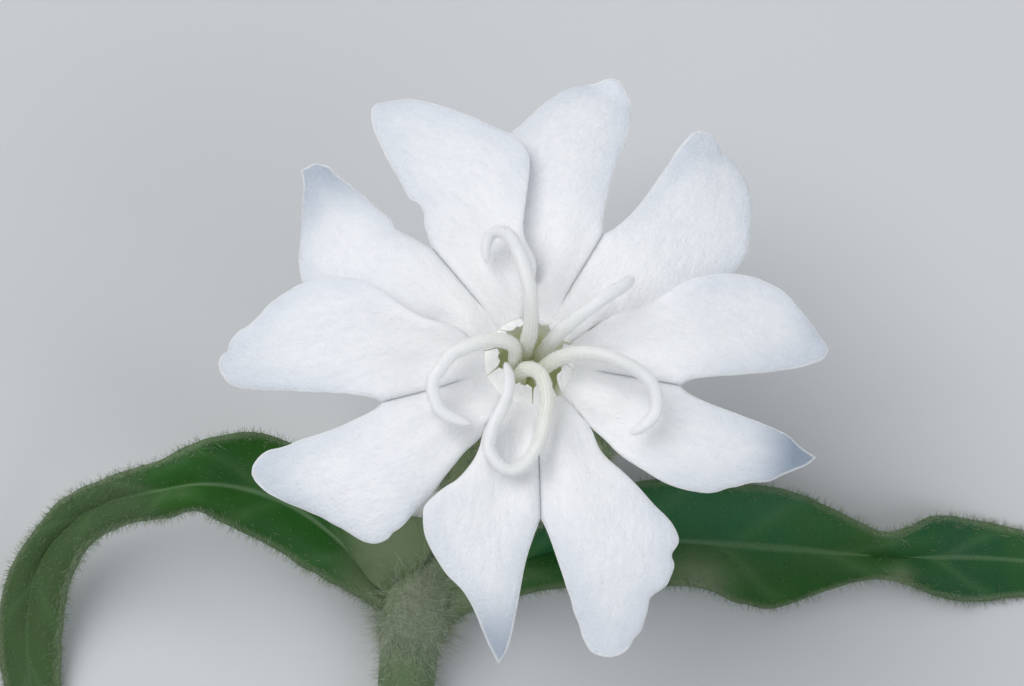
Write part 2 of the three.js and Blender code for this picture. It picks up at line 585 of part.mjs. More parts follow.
// Leaves. Each blade is spanned by its midrib and its two margins, from the joint to the tip. The upper
// margin is the one nearer the flower. Points are measured from the spot on the table under the throat.
const LEAF_ROWS = 26;
const LEAF_COLUMNS = 6;
const LEAF_BULGE = 0.25;
const LEAVES = [
  {
    name: "leaf_right", tip: [38.6, -13.4, 0.3],
    upper: [
      [-3.5, -11.9, 2.9], [-2.2, -10.8, 4.0], [0.7, -9.2, 5.0], [3.9, -7.6, 5.5], [6.7, -6.8, 5.6],
      [11.9, -7.1, 4.6], [14.5, -7.5, 3.9], [16.7, -8.4, 3.5], [18.5, -9.3, 3.4], [20.0, -9.8, 3.4],
      [21.3, -9.5, 2.6], [22.8, -9.0, 1.6], [24.9, -9.2, 0.9], [28.1, -9.9, 0.4], [32.5, -10.9, 0.3],
      [36.2, -12.3, 0.3],
    ],
    midrib: [
      [-3.6, -12.9, 3.0], [0.7, -11.0, 4.0], [4.0, -10.3, 4.4], [7.3, -10.2, 4.4], [14.0, -10.6, 3.3],
      [20.0, -11.2, 1.7], [25.5, -11.4, 0.5], [28.1, -11.6, 0.3], [33.0, -12.3, 0.3],
    ],
    lower: [
      [-3.7, -13.9, 2.9], [0.7, -13.0, 4.4], [4.0, -12.7, 4.8], [7.7, -12.7, 4.5], [9.8, -12.9, 3.9],
      [11.8, -13.8, 2.8], [13.8, -14.1, 2.0], [15.8, -13.5, 2.0], [18.0, -12.7, 2.4], [19.9, -12.5, 2.4],
      [22.0, -13.2, 1.5], [24.4, -13.9, 0.8], [28.1, -13.7, 0.3], [32.5, -13.8, 0.3], [36.2, -13.9, 0.3],
    ],
  },
  {
    name: "leaf_left", tip: [-26.0, -26.5, 0.3],
    upper: [
      [-8.1, -11.9, 2.9], [-9.5, -8.4, 4.6], [-11.9, -5.4, 6.2], [-14.2, -4.2, 8.0], [-16.2, -4.2, 9.4],
      [-17.9, -4.7, 10.2], [-19.8, -5.6, 9.8], [-22.5, -6.5, 7.6], [-25.5, -7.9, 5.4], [-27.5, -10.0, 3.8],
      [-28.9, -12.1, 2.6], [-29.7, -14.9, 1.4], [-29.5, -18.7, 0.5], [-28.2, -22.7, 0.3],
    ],
    midrib: [
      [-8.4, -13.0, 3.0], [-10.3, -10.4, 4.6], [-12.9, -8.2, 6.4], [-15.5, -7.1, 8.3], [-17.7, -6.8, 9.8],
      [-19.9, -7.2, 9.4], [-22.3, -7.8, 7.4], [-24.8, -9.1, 5.2], [-26.7, -10.9, 3.6], [-27.8, -13.7, 2.0],
      [-28.1, -17.2, 0.8], [-27.4, -21.5, 0.3],
    ],
    lower: [
      [-8.5, -14.1, 2.9], [-10.3, -12.8, 4.6], [-12.4, -11.4, 6.0], [-14.5, -10.0, 7.4],
      [-16.5, -8.9, 8.8], [-17.7, -8.3, 9.6], [-19.1, -8.6, 9.2], [-21.5, -9.1, 7.6], [-23.8, -10.3, 5.6],
      [-25.2, -12.3, 3.8], [-25.9, -14.8, 2.2], [-26.3, -18.6, 0.8], [-26.2, -22.5, 0.3],
    ],
  },
];

function leafGeometry(leaf) {
  const lines = [leaf.upper, leaf.midrib, leaf.lower];
  const [upper, midrib, lower] = lines.map((line) => spline([...line, leaf.tip]));
  const points = [];
  const triangles = [];
  let last = null;
  for (let i = 0; i <= LEAF_ROWS; i++) {
    const t = i / LEAF_ROWS;
    const middle = midrib.getPointAt(t);
    const row = [];
    for (let j = 0; j <= LEAF_COLUMNS; j++) {
      const v = (2 * j) / LEAF_COLUMNS - 1;
      const margin = (v < 0 ? upper : lower).getPointAt(t);
      const p = middle.clone().lerp(margin, Math.abs(v));
      // between the midrib and a margin the blade bulges a little, except where it lies on the table
      const bulge = LEAF_BULGE * THREE.MathUtils.smoothstep(p.z, 0.5, 2);
      p.z = Math.max(p.z + 4 * bulge * Math.abs(v) * (1 - Math.abs(v)), BLADE / 2);
      row.push(points.push(p) - 1);
      if (i === LEAF_ROWS) break;
    }
    if (last) triangles.push(...between(last, row));
    last = row;
  }
  const sheet = sheetSolid(points, triangles, BLADE);
  for (const p of sheet.points) if (p.z < LIES_BELOW) p.z = 0;
  return geometryOf(sheet.points, sheet.triangles);
}

const flower = new THREE.Group();
flower.rotation.set(-LEAN_BACK, LEAN_RIGHT, 0);
flower.position.copy(THROAT);
for (const petal of PETALS) flower.add(named(petal.name, petalGeometry(petal), WHITE));
flower.add(named("pistil", pistilGeometry(), PALE_GREEN));
flower.add(named("calyx", calyxGeometry(), CALYX_GREEN));

const greenery = new THREE.Group();
greenery.position.set(THROAT.x, THROAT.y, 0);
greenery.add(named("stem", stemGeometry(), STEM_GREEN));
for (const leaf of LEAVES) greenery.add(named(leaf.name, leafGeometry(leaf), LEAF_GREEN));

const campion = new THREE.Group();
campion.add(flower, greenery);

export default campion;
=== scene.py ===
# White campion, Silene latifolia: one cut flower of a female plant, lying on a table, its bloom facing up.
# The sections follow the plant as it grew: stem, leaves, calyx, petals with their scales, pistil. The studio
# comes last. Shapes are in millimetres and in the same frame as the solids: +Z up, and the table at z = 0.
import math

import bpy
import numpy as np
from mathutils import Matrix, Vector, noise


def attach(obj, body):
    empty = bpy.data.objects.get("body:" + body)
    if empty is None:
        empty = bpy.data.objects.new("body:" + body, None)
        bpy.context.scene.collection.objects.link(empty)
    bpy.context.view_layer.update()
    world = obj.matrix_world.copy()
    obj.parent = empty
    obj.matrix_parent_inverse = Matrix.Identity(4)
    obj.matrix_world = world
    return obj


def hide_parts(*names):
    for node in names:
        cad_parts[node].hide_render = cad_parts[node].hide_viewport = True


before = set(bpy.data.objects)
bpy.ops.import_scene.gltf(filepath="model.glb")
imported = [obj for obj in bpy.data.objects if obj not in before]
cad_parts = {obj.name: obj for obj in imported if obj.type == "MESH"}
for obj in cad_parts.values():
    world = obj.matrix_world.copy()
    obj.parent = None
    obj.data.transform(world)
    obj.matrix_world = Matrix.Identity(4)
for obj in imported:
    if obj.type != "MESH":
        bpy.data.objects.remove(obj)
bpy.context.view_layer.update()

# The stem: a round, faintly ridged green stalk with many pale hairs. A short bent neck carries the flower.
# Below it the stem swells at the joint where the leaves grow, lies flat on the table and ends in a slanting
# cut through its pith.
THROAT = np.array([-4.4, 38.5, 23.6])  # the middle of the flower's throat
UNDER_THROAT = THROAT * [1, 1, 0]  # stem and leaf points are measured from here
NECK = [
    [-0.99, -5.52, 5.55], [-1.02, -5.75, 4.9], [-1.2, -6.3, 3.9], [-1.9, -7.7, 2.6], [-3.2, -9.8, 1.9],
    [-4.7, -11.9, 1.8],
]
NECK_INSIDE = 0.69  # how much of the neck is inside the foot of the calyx
JOINT = [-6.0, -13.7, 2.0]
LYING = [
    [-6.5, -15.6, 1.6], [-6.8, -18.5, 1.6], [-7.2, -25, 1.6], [-7.3, -40, 1.6], [-6.0, -58, 1.6],
    [-4.4, -76, 1.6], [-3.8, -90, 1.6],
]
STEM_RADIUS = [
    [0, 1.25], [1.6, 1.05], [5.5, 1.05], [8.5, 1.35], [11.2, 2.2], [14, 1.65], [25, 1.6], [88, 1.75],
]
STEM_RINGS, STEM_SIDES = 260, 40
SOLID_SIDES = 12  # the solid stem has this many sides, and lies on one of them
STEM_RIDGES, RIDGE_HEIGHT = 10, 0.035
JOINT_MM, JOINT_REACH = 11.2, 2.6  # how far from the calyx the joint is, and how far its swelling reaches
JOINT_OVAL, OVAL_TURN = 0.12, 0.6  # how much wider than high the joint is, and which way
CUT_SLANT, SLANTED_RINGS = 0.7, 7  # the slope of the cut, and how many rings behind it still follow it
CAP_RINGS = (0.93, 0.8, 0.6, 0.35, 0.12)  # shares of the radius at which an end closes
UNEVEN_MM, UNEVEN_LENGTH = 0.05, 2.2  # bumps of the stem's skin


def eased(value, low, high):
    """0 below low and 1 above high, with a smooth change between them."""
    t = np.clip((value - low) / (high - low), 0, 1)
    return t * t * (3 - 2 * t)


def along(stations, at):
    """A value along [position, value] stations, smoothed between them."""
    x, y = np.array(stations, float).T
    numbers = np.arange(len(x))
    before, after = np.maximum(numbers - 1, 0), np.minimum(numbers + 1, numbers[-1])
    slope = (y[after] - y[before]) / (x[after] - x[before])
    at = np.clip(at, x[0], x[-1])
    i = np.clip(np.searchsorted(x, at, side="right") - 1, 0, len(x) - 2)
    step = x[i + 1] - x[i]
    t = (at - x[i]) / step
    rise = (3 - 2 * t) * t * t
    bend = step * t * (1 - t) * (slope[i] * (1 - t) - slope[i + 1] * t)
    return y[i] + (y[i + 1] - y[i]) * rise + bend


class Line:
    """A smooth line through points, read by the share of its length."""

    def __init__(self, points, steps_per_span=40):
        self.steps_per_span = steps_per_span
        given = np.zeros((len(points), 3))
        for row, point in zip(given, points):
            row[: len(point)] = point
        p = np.vstack([2 * given[0] - given[1], given, 2 * given[-1] - given[-2]])
        t = np.linspace(0, 1, steps_per_span, endpoint=False)[:, None]
        spans = []
        for a, b, c, d in zip(p, p[1:], p[2:], p[3:]):
            ab, bc, cd = (math.sqrt(np.linalg.norm(v)) for v in (b - a, c - b, d - c))
            leaving = ((b - a) / ab - (c - a) / (ab + bc) + (c - b) / bc) * bc
            arriving = ((c - b) / bc - (d - b) / (bc + cd) + (d - c) / cd) * bc
            squared, cubed = 3 * (c - b) - 2 * leaving - arriving, 2 * (b - c) + leaving + arriving
            spans.append(b + leaving * t + squared * t**2 + cubed * t**3)
        self.track = np.vstack(spans + [given[-1:]])
        self.run = np.concatenate([[0], np.cumsum(np.linalg.norm(np.diff(self.track, axis=0), axis=1))])
        self.length = self.run[-1]

    def at(self, share):
        mm = np.clip(share, 0, 1) * self.length
        return np.stack([np.interp(mm, self.run, self.track[:, k]) for k in range(3)], axis=-1)

    def direction(self, share):
        ahead, behind = self.at(np.asarray(share) + 0.002), self.at(np.asarray(share) - 0.002)
        return unit(ahead - behind)


def unit(vectors):
    return vectors / np.maximum(np.linalg.norm(vectors, axis=-1, keepdims=True), 1e-12)


def waves(points, size, seed):
    """A smooth natural unevenness between about -1 and 1, with bumps of this size in millimetres."""
    return np.array([noise.noise(Vector(p) / size + Vector((seed, 7.3 * seed, 0))) for p in points])


def rings_along(line, count, sides, radius_at, first_up):
    """Rings round a line, turned as little as possible from one to the next, as (count, sides, 3) points."""
    shares = np.linspace(0, 1, count)
    turn = (np.arange(sides) + 0.5) / sides * 2 * math.pi
    rings, up = [], np.array(first_up, float)
    for share, centre, tangent in zip(shares, line.at(shares), line.direction(shares)):
        up = unit(up - up @ tangent * tangent)
        across = np.cross(tangent, up)
        radius = radius_at(share, turn)
        rings.append(centre - np.outer(np.cos(turn) * radius, up) - np.outer(np.sin(turn) * radius, across))
    return np.array(rings)


def skin_of(rings):
    """The faces between rings of equally many points, numbered ring by ring."""
    count, sides = rings
    faces = []
    for i in range(count - 1):
        for j in range(sides):
            k = (j + 1) % sides
            faces.append((i * sides + j, i * sides + k, (i + 1) * sides + k, (i + 1) * sides + j))
    return faces


def make_piece(name, points, faces, finish, **marks):
    """An object from points in millimetres. marks are numbers for each point that its finish can read."""
    mesh = bpy.data.meshes.new(name)
    mesh.from_pydata((np.asarray(points) * 0.001).tolist(), [], faces)
    mesh.polygons.foreach_set("use_smooth", [True] * len(mesh.polygons))
    for mark, values in marks.items():
        mesh.attributes.new(mark, "FLOAT", "POINT").data.foreach_set("value", np.asarray(values, np.float32))
    mesh.materials.append(finish.material)
    mesh.update()
    piece = bpy.data.objects.new(name, mesh)
    bpy.context.scene.collection.objects.link(piece)
    return piece


class Value:
    """A socket of a finish, to be used in sums and products."""

    def __init__(self, finish, socket):
        self.finish, self.socket = finish, socket

    def worked(self, operation, first, second):
        return self.finish.node("Math", {"operation": operation}, {0: first, 1: second})

    def __add__(self, other):
        return self.worked("ADD", self, other)

    def __radd__(self, other):
        return self.worked("ADD", other, self)

    def __sub__(self, other):
        return self.worked("SUBTRACT", self, other)

    def __rsub__(self, other):
        return self.worked("SUBTRACT", other, self)

    def __mul__(self, other):
        return self.worked("MULTIPLY", self, other)

    def __rmul__(self, other):
        return self.worked("MULTIPLY", other, self)

    def __abs__(self):
        return self.finish.node("Math", {"operation": "ABSOLUTE"}, {0: self})


class Finish:
    """A material of one shader. What is the same all over is set on the shader's own sockets."""

    def __init__(self, name, **constants):
        self.material = bpy.data.materials.new(name)
        self.material.use_nodes = True
        self.nodes, self.links = self.material.node_tree.nodes, self.material.node_tree.links
        self.shader = self.nodes["Principled BSDF"]
        for socket, value in constants.items():
            self.shader.inputs[socket.replace("_", " ")].default_value = value

    def node(self, kind, settings, sockets, output=0):
        made = self.nodes.new("ShaderNode" + kind)
        for name, value in settings.items():
            setattr(made, name, value)
        for name, value in sockets.items():
            self.feed(made.inputs[name], value)
        return Value(self, made.outputs[output])

    def feed(self, socket, value):
        if isinstance(value, Value):
            self.links.new(value.socket, socket)
        else:
            socket.default_value = value

    def mark(self, name):
        return self.node("Attribute", {"attribute_name": name}, {}, "Fac")

    def place(self):
        return self.node("NewGeometry", {}, {}, "Position")

    def speckle(self, size_mm, detail=2.0, stretch=(1, 1, 1)):
        """Noise between 0 and 1 with spots of about this size."""
        scale = [1000 / size_mm / s for s in stretch]
        spot = self.node("VectorMath", {"operation": "MULTIPLY"}, {0: self.place(), 1: scale})
        return self.node("TexNoise", {}, {"Vector": spot, "Scale": 1.0, "Detail": detail})

    def cells(self, per_metre):
        """How far a point is from the edge of its cell, in a net of this many cells to the metre."""
        sockets = {"Vector": self.place(), "Scale": per_metre}
        return self.node("TexVoronoi", {"feature": "DISTANCE_TO_EDGE"}, sockets)

    def step(self, value, low, high):
        """0 below low and 1 above high."""
        settings = {"interpolation_type": "SMOOTHSTEP"}
        return self.node("MapRange", settings, {"Value": value, "From Min": low, "From Max": high})

    def mix(self, mask, first, second):
        """A colour between two, as the mask goes from 0 to 1."""
        sockets = {0: mask, 6: first, 7: second}
        return self.node("Mix", {"data_type": "RGBA"}, sockets, 2)

    def over(self, colour, *layers):
        """A colour with others laid over it in turn, each as far as its mask says."""
        for mask, layer in layers:
            colour = self.mix(mask, colour, layer)
        return colour

    def colour(self, colour):
        self.feed(self.shader.inputs["Base Color"], colour)

    def glow(self, colour):
        self.shader.inputs["Emission Strength"].default_value = 1.0
        self.feed(self.shader.inputs["Emission Color"], colour)

    def roughness(self, roughness):
        self.feed(self.shader.inputs["Roughness"], roughness)

    def relief(self, height, depth_mm):
        """Bumps as deep as this where height goes from 0 to 1."""
        bump = self.node("Bump", {}, {"Strength": 1.0, "Distance": depth_mm * 0.001, "Height": height})
        self.feed(self.shader.inputs["Normal"], bump)


def rgb(red, green, blue):
    """A colour given as it looks on a screen, from 0 to 255."""
    shares = [value / 255 for value in (red, green, blue)]
    return (*(c / 12.92 if c <= 0.04045 else ((c + 0.055) / 1.055) ** 2.4 for c in shares), 1)


stem_line = Line([UNDER_THROAT + point for point in (*LYING[::-1], JOINT, *NECK[::-1])])
stem_shares = np.linspace(0, 1, STEM_RINGS)
settled = math.cos(math.pi / SOLID_SIDES)


def mm_from_calyx(share):
    return (1 - share) * stem_line.length - NECK_INSIDE


def swelling(from_calyx):
    """1 at the joint, less and less away from it."""
    return np.exp(-(((from_calyx - JOINT_MM) / JOINT_REACH) ** 2))


def stem_radius(share, turn):
    from_calyx = mm_from_calyx(share)
    oval = JOINT_OVAL * swelling(from_calyx) * np.cos(2 * turn + OVAL_TURN)
    return along(STEM_RADIUS, from_calyx) + (RIDGE_HEIGHT * np.cos(STEM_RIDGES * turn) + oval)


stem_rings = rings_along(stem_line, STEM_RINGS, STEM_SIDES, stem_radius, (0, 0, 1))
stem_middle = stem_line.at(stem_shares)
past_joint = eased(UNDER_THROAT[1] + JOINT[1] - stem_middle[:, 1], 0, 1.5)
drop = (along(STEM_RADIUS, mm_from_calyx(stem_shares)) * settled - stem_middle[:, 2]) * past_joint
stem_rings[:, :, 2] += drop[:, None]
cut = stem_rings[0]
cut[:, 1] += (cut[:, 2] - cut[:, 2].mean()) * CUT_SLANT
near_cut = stem_rings[1:SLANTED_RINGS + 1]
follow = np.linspace(0.85, 0.1, SLANTED_RINGS)[:, None]
near_cut[:, :, 1] += (near_cut[:, :, 2] - cut[:, 2].mean()) * CUT_SLANT * follow
stem_rings[:, :, 2] = np.maximum(stem_rings[:, :, 2], 0)
stem_points = stem_rings.reshape(-1, 3)
stem_points = stem_points + waves(stem_points, UNEVEN_LENGTH, 3)[:, None] * [UNEVEN_MM, UNEVEN_MM, 0]
stem_faces = skin_of((STEM_RINGS, STEM_SIDES))
stem_from_calyx = np.repeat(mm_from_calyx(stem_shares), STEM_SIDES)
at_cut = np.zeros(len(stem_points))

# the cut face and the end under the calyx close in rings towards their middles
for ring_start, order in ((0, 1), ((STEM_RINGS - 1) * STEM_SIDES, -1)):
    rim = stem_points[ring_start:ring_start + STEM_SIDES]
    middle = rim.mean(axis=0)
    last = list(range(ring_start, ring_start + STEM_SIDES))
    for share in CAP_RINGS:
        new = list(range(len(stem_points), len(stem_points) + STEM_SIDES))
        stem_points = np.vstack([stem_points, middle + (rim - middle) * share])
        stem_from_calyx = np.concatenate([stem_from_calyx, stem_from_calyx[last]])
        at_cut = np.concatenate([at_cut, np.full(STEM_SIDES, 1.0 if ring_start == 0 else 0.0)])
        for j in range(STEM_SIDES):
            k = (j + 1) % STEM_SIDES
            stem_faces.append((last[k], last[j], new[j], new[k])[::order])
        last = new
    stem_faces.append(tuple(last[::-order]))

stem_finish = Finish("stem_green", Roughness=0.55, Sheen_Weight=0.15, Sheen_Roughness=0.5)
swollen = 1 - stem_finish.step(abs(stem_finish.mark("from_calyx") - JOINT_MM), 1.0, 4.0)
streaks = stem_finish.speckle(0.55, 3.0, (1, 9, 1))
stem_finish.colour(stem_finish.over(
    stem_finish.mix(streaks, rgb(94, 120, 78), rgb(74, 100, 62)),
    (swollen * 0.75, rgb(130, 141, 115)),
    (stem_finish.step(stem_finish.speckle(3.5), 0.45, 0.75) * 0.35, rgb(112, 104, 88)),
    (stem_finish.mark("at_cut"), stem_finish.mix(
        stem_finish.speckle(0.25, 3.0), rgb(196, 204, 160), rgb(168, 184, 128)))))
stem_finish.roughness(0.5 + 0.2 * streaks)
stem_finish.relief(streaks, 0.05)
stem = make_piece(
    "stem_green_stalk", stem_points, stem_faces, stem_finish, from_calyx=stem_from_calyx, at_cut=at_cut)
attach(stem, "root")
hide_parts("stem")


def grow_hairs(name, piece, finish, seed, count, length, thickness, lean, density, combed=(0, 0, 0)):
    """Fine pointed hairs, each a real three-sided blade that is bent once, standing on a piece's skin. length
    is the shortest and the longest, lean is how far they tilt at random, density weighs where they stand, and
    combed is the way that they all lean."""
    chance = np.random.default_rng(seed)
    mesh = piece.data
    mesh.calc_loop_triangles()
    corners = np.zeros(len(mesh.loop_triangles) * 3, np.int32)
    mesh.loop_triangles.foreach_get("vertices", corners)
    corners = corners.reshape(-1, 3)
    spots, normals = np.zeros(len(mesh.vertices) * 3), np.zeros(len(mesh.vertices) * 3)
    mesh.vertices.foreach_get("co", spots)
    mesh.vertex_normals.foreach_get("vector", normals)
    spots, normals = spots.reshape(-1, 3) * 1000, normals.reshape(-1, 3)
    a, b, c = (spots[corners[:, k]] for k in range(3))
    weight = np.linalg.norm(np.cross(b - a, c - a), axis=1) * density[corners].mean(axis=1)
    pick = chance.choice(len(corners), count, p=weight / weight.sum())
    shares = chance.dirichlet((1, 1, 1), count)
    root = (spots[corners[pick]] * shares[:, :, None]).sum(axis=1)
    out = unit((normals[corners[pick]] * shares[:, :, None]).sum(axis=1))
    tilt = chance.normal(size=(count, 3)) * lean
    first = unit(out + tilt + combed)
    second = unit(first + chance.normal(size=(count, 3)) * 0.45 + np.array(combed) * 0.6)
    size = chance.uniform(*length, count)[:, None]
    middle = root + first * size * 0.55
    tip = middle + second * size * 0.45
    side = unit(np.cross(first, chance.normal(size=(count, 3))))
    other = np.cross(first, side)
    blades = []
    for centre, share in ((root - out * 0.03, 1.0), (middle, 0.75)):
        for corner in range(3):
            turn = corner * 2 * math.pi / 3
            blades.append(centre + (side * math.cos(turn) + other * math.sin(turn)) * thickness / 2 * share)
    blades.append(tip)
    points = np.stack(blades, axis=1)
    points[:, :, 2] = np.maximum(points[:, :, 2], 0.02)
    first_number = np.arange(count)[:, None, None] * 7
    sides = np.array([[0, 1, 4, 3], [1, 2, 5, 4], [2, 0, 3, 5]]) + first_number
    ends = np.array([[3, 4, 6], [4, 5, 6], [5, 3, 6]]) + first_number
    faces = sides.reshape(-1, 4).tolist() + ends.reshape(-1, 3).tolist()
    up_hair = np.tile([0, 0, 0, 0.55, 0.55, 0.55, 1], count)
    return make_piece(name, points.reshape(-1, 3), faces, finish, up_hair=up_hair)


hair_finish = Finish("pale_hairs", Roughness=0.45)
hair_finish.colour(hair_finish.mix(hair_finish.mark("up_hair"), rgb(138, 150, 120), rgb(204, 210, 194)))

near_joint = swelling(stem_from_calyx)
off_table = eased(stem_points[:, 2], 0.15, 0.8)
hairy = (0.7 + 0.3 * near_joint) * off_table * (1 - at_cut)
stem_hairs = grow_hairs(
    "stem_hairs", stem, hair_finish, seed=11, count=9000, length=(0.3, 0.95), thickness=0.026, lean=0.35,
    density=hairy, combed=(0, -0.25, 0))
joint_hairs = grow_hairs(
    "joint_hairs", stem, hair_finish, seed=12, count=800, length=(0.9, 2.2), thickness=0.02, lean=0.5,
    density=near_joint**2 * off_table)
for hairs in (stem_hairs, joint_hairs):
    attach(hairs, "root")

# The two leaves: soft, thin green blades that grow from opposite sides of the joint and clasp it with a pale
# foot. Each has a midrib, faint side veins and a hairy margin. The right one lies out along the table, the
# left one arches over and comes down to it.
LEAF_THICKNESS = 0.42
SOLID_REST = 0.3  # where the solid leaf lies on the table, its middle layer is this high
FOOT_ROWS, LEAF_ROWS, LEAF_COLUMNS = 14, 170, 28
BULGE = 0.25  # each half of a leaf bulges up this far between midrib and margin
SIDE_VEINS, VEIN_WIDTH, VEIN_SLOPE = 7, 0.1, 0.75
GROOVE_WIDTH, GROOVE_DEPTH = 0.55, 0.06
RIPPLE_LENGTH, RIPPLE_HEIGHT, MARGIN_LENGTH, MARGIN_WAVER = 3.0, 0.16, 1.3, 0.09
LEAVES = {
    "leaf_right": {
        "foot": {"upper": [-4.9, -12.2, 2.6], "midrib": [-5.3, -13.4, 2.6], "lower": [-5.4, -16.2, 2.1]},
        "tip": [38.6, -13.4, 0.3],
        "upper": [
            [-3.5, -11.9, 2.9], [-2.2, -10.8, 4.0], [0.7, -9.2, 5.0], [3.9, -7.6, 5.5], [6.7, -6.8, 5.6],
            [11.9, -7.1, 4.6], [14.5, -7.5, 3.9], [16.7, -8.4, 3.5], [18.5, -9.3, 3.4], [20.0, -9.8, 3.4],
            [21.3, -9.5, 2.6], [22.8, -9.0, 1.6], [24.9, -9.2, 0.9], [28.1, -9.9, 0.4], [32.5, -10.9, 0.3],
            [36.2, -12.3, 0.3],
        ],
        "midrib": [
            [-3.6, -12.9, 3.0], [0.7, -11.0, 4.0], [4.0, -10.3, 4.4], [7.3, -10.2, 4.4], [14.0, -10.6, 3.3],
            [20.0, -11.2, 2.3], [25.5, -11.4, 0.5], [28.1, -11.6, 0.3], [33.0, -12.3, 0.3],
        ],
        "lower": [
            [-3.7, -14.6, 2.7], [0.7, -13.0, 4.4], [4.0, -12.7, 4.8], [7.7, -12.7, 4.5], [9.8, -12.9, 3.9],
            [11.8, -13.8, 2.8], [13.8, -14.1, 2.0], [15.8, -13.5, 2.0], [18.0, -12.7, 2.4],
            [19.9, -12.5, 2.4], [22.0, -13.2, 1.5], [24.4, -13.9, 0.8], [28.1, -13.7, 0.3],
            [32.5, -13.8, 0.3], [36.2, -13.9, 0.3],
        ],
        "cool": 1, "grey_from": 2.0, "warm_spot": [18.6, -10.3, 2.4],
        "pale_spots": [[20.6, -12.7, 0.8], [9.2, -12.7, 1.7]],
    },
    "leaf_left": {
        "foot": {"upper": [-4.3, -9.3, 2.7], "midrib": [-6.8, -13.4, 2.7], "lower": [-7.2, -16.0, 2.2]},
        "tip": [-26.0, -26.5, 0.3],
        "upper": [
            [-7.7, -8.7, 3.9], [-9.5, -8.4, 4.6], [-11.9, -5.4, 6.2], [-14.2, -4.2, 8.0],
            [-16.2, -4.2, 9.4], [-17.9, -4.7, 10.2], [-19.8, -5.6, 9.8], [-22.5, -6.5, 7.6],
            [-25.5, -7.9, 5.4], [-27.5, -10.0, 3.8], [-28.9, -12.1, 2.6], [-29.7, -14.9, 1.4],
            [-29.5, -18.7, 0.5], [-28.2, -22.7, 0.3],
        ],
        "midrib": [
            [-8.4, -13.0, 3.0], [-10.3, -10.4, 4.6], [-12.9, -8.2, 6.4], [-15.5, -7.1, 8.3],
            [-17.7, -6.8, 9.8], [-19.9, -7.2, 9.4], [-22.3, -7.8, 7.4], [-24.8, -9.1, 5.2],
            [-26.7, -10.9, 3.6], [-27.8, -13.7, 2.0], [-28.1, -17.2, 0.8], [-27.4, -21.5, 0.3],
        ],
        "lower": [
            [-8.5, -14.1, 2.9], [-10.3, -12.8, 4.6], [-12.4, -11.4, 6.0], [-14.5, -10.0, 7.4],
            [-16.5, -8.9, 8.8], [-17.7, -8.3, 9.6], [-19.1, -8.6, 9.2], [-21.5, -9.1, 7.6],
            [-23.8, -10.3, 5.6], [-25.2, -12.3, 3.8], [-25.9, -14.8, 2.2], [-26.3, -18.6, 0.8],
            [-26.2, -22.5, 0.3],
        ],
        "cool": 0, "grey_from": 0.34, "warm_spot": [0, 0, 1], "pale_spots": [],
    },
}


def sheet_normals(points, faces):
    normals = np.zeros_like(points)
    for corners in range(3, 5):
        group = np.array([f for f in faces if len(f) == corners])
        if len(group):
            first = points[group[:, 0]]
            n = np.cross(points[group[:, 1]] - first, points[group[:, -1]] - first)
            for k in range(corners):
                np.add.at(normals, group[:, k], n)
    return unit(normals)


def sheet_margin(points, faces):
    """The edges of a sheet that only one face uses, and every point's distance to the nearest of them."""
    used = {}
    for face in faces:
        for i, j in zip(face, face[1:] + face[:1]):
            if used.pop((j, i), None) is None:
                used[i, j] = True
    rim = np.array(sorted({i for edge in used for i in edge}))
    nearest = np.array([np.linalg.norm(points[rim] - p, axis=1).min() for p in points])
    return list(used), nearest


def thin_body(points, faces, thickness, margin, at_edge=0.22):
    """A closed thin body round a sheet. Within margin of its edges it thins to at_edge of its thickness."""
    normals = sheet_normals(points, faces)
    edges, from_edge = sheet_margin(points, faces)
    inwards = np.clip(from_edge / margin, 0, 1)
    half = thickness / 2 * np.maximum(np.sqrt(inwards * (2 - inwards)), at_edge)
    offset = normals * half[:, None]
    count = len(points)
    closed = [tuple(f) for f in faces] + [tuple(i + count for i in reversed(f)) for f in faces]
    closed += [(j, i, i + count, j + count) for i, j in edges]
    return np.vstack([points + offset, points - offset]), closed, from_edge


leaf_finish = Finish("leaf_green", Roughness=0.5, Specular_IOR_Level=0.25)
across, down_leaf, underside, from_edge, grey = (
    leaf_finish.mark(m) for m in ("across", "down_leaf", "underside", "from_edge", "grey"))
mottled, cells = leaf_finish.speckle(1.6, 3.0), leaf_finish.cells(2600.0)
middle_line = 1 - leaf_finish.step(abs(across), 0.02, 0.11)
clear = 0.1 + 0.35 * (1 - leaf_finish.mark("cool")) * (1 - grey) + 0.4 * underside
leaf_finish.colour(leaf_finish.over(
    # the right leaf's upper half is a bluer green than its lower half: painted sheen
    leaf_finish.mix(leaf_finish.mark("cool"), rgb(30, 82, 22), rgb(36, 98, 58)),
    # painted shade: the blade grows darker towards its tip, except past the left leaf's bend
    (leaf_finish.step(down_leaf, 0.4, 0.7) * (1 - grey) * 0.8, rgb(16, 72, 38)),
    (leaf_finish.step(mottled, 0.35, 0.8) * 0.4, rgb(48, 98, 36)),
    (leaf_finish.step(leaf_finish.speckle(7.0), 0.5, 0.72) * 0.35, rgb(62, 98, 30)),
    (leaf_finish.mark("warm") * 0.7, rgb(50, 90, 28)),
    # past the left leaf's bend the blade is a paler grey-green: painted sheen of its down seen at a slant
    (grey * 0.6, rgb(77, 94, 63)),
    (leaf_finish.mark("pale") * 0.8, leaf_finish.mix(mottled, rgb(100, 118, 80), rgb(132, 142, 116))),
    (underside * 0.7, rgb(124, 146, 108)),
    (middle_line * clear, rgb(118, 146, 108)),
    (leaf_finish.mark("vein") * 0.18, rgb(96, 132, 84)),
    ((1 - leaf_finish.step(from_edge, 0.08, 0.5)) * 0.45, rgb(128, 142, 112))))
leaf_finish.roughness(0.45 + 0.2 * mottled)
leaf_finish.relief(leaf_finish.step(cells, 0.0, 0.35) * 0.4 + mottled * 0.6, 0.02)

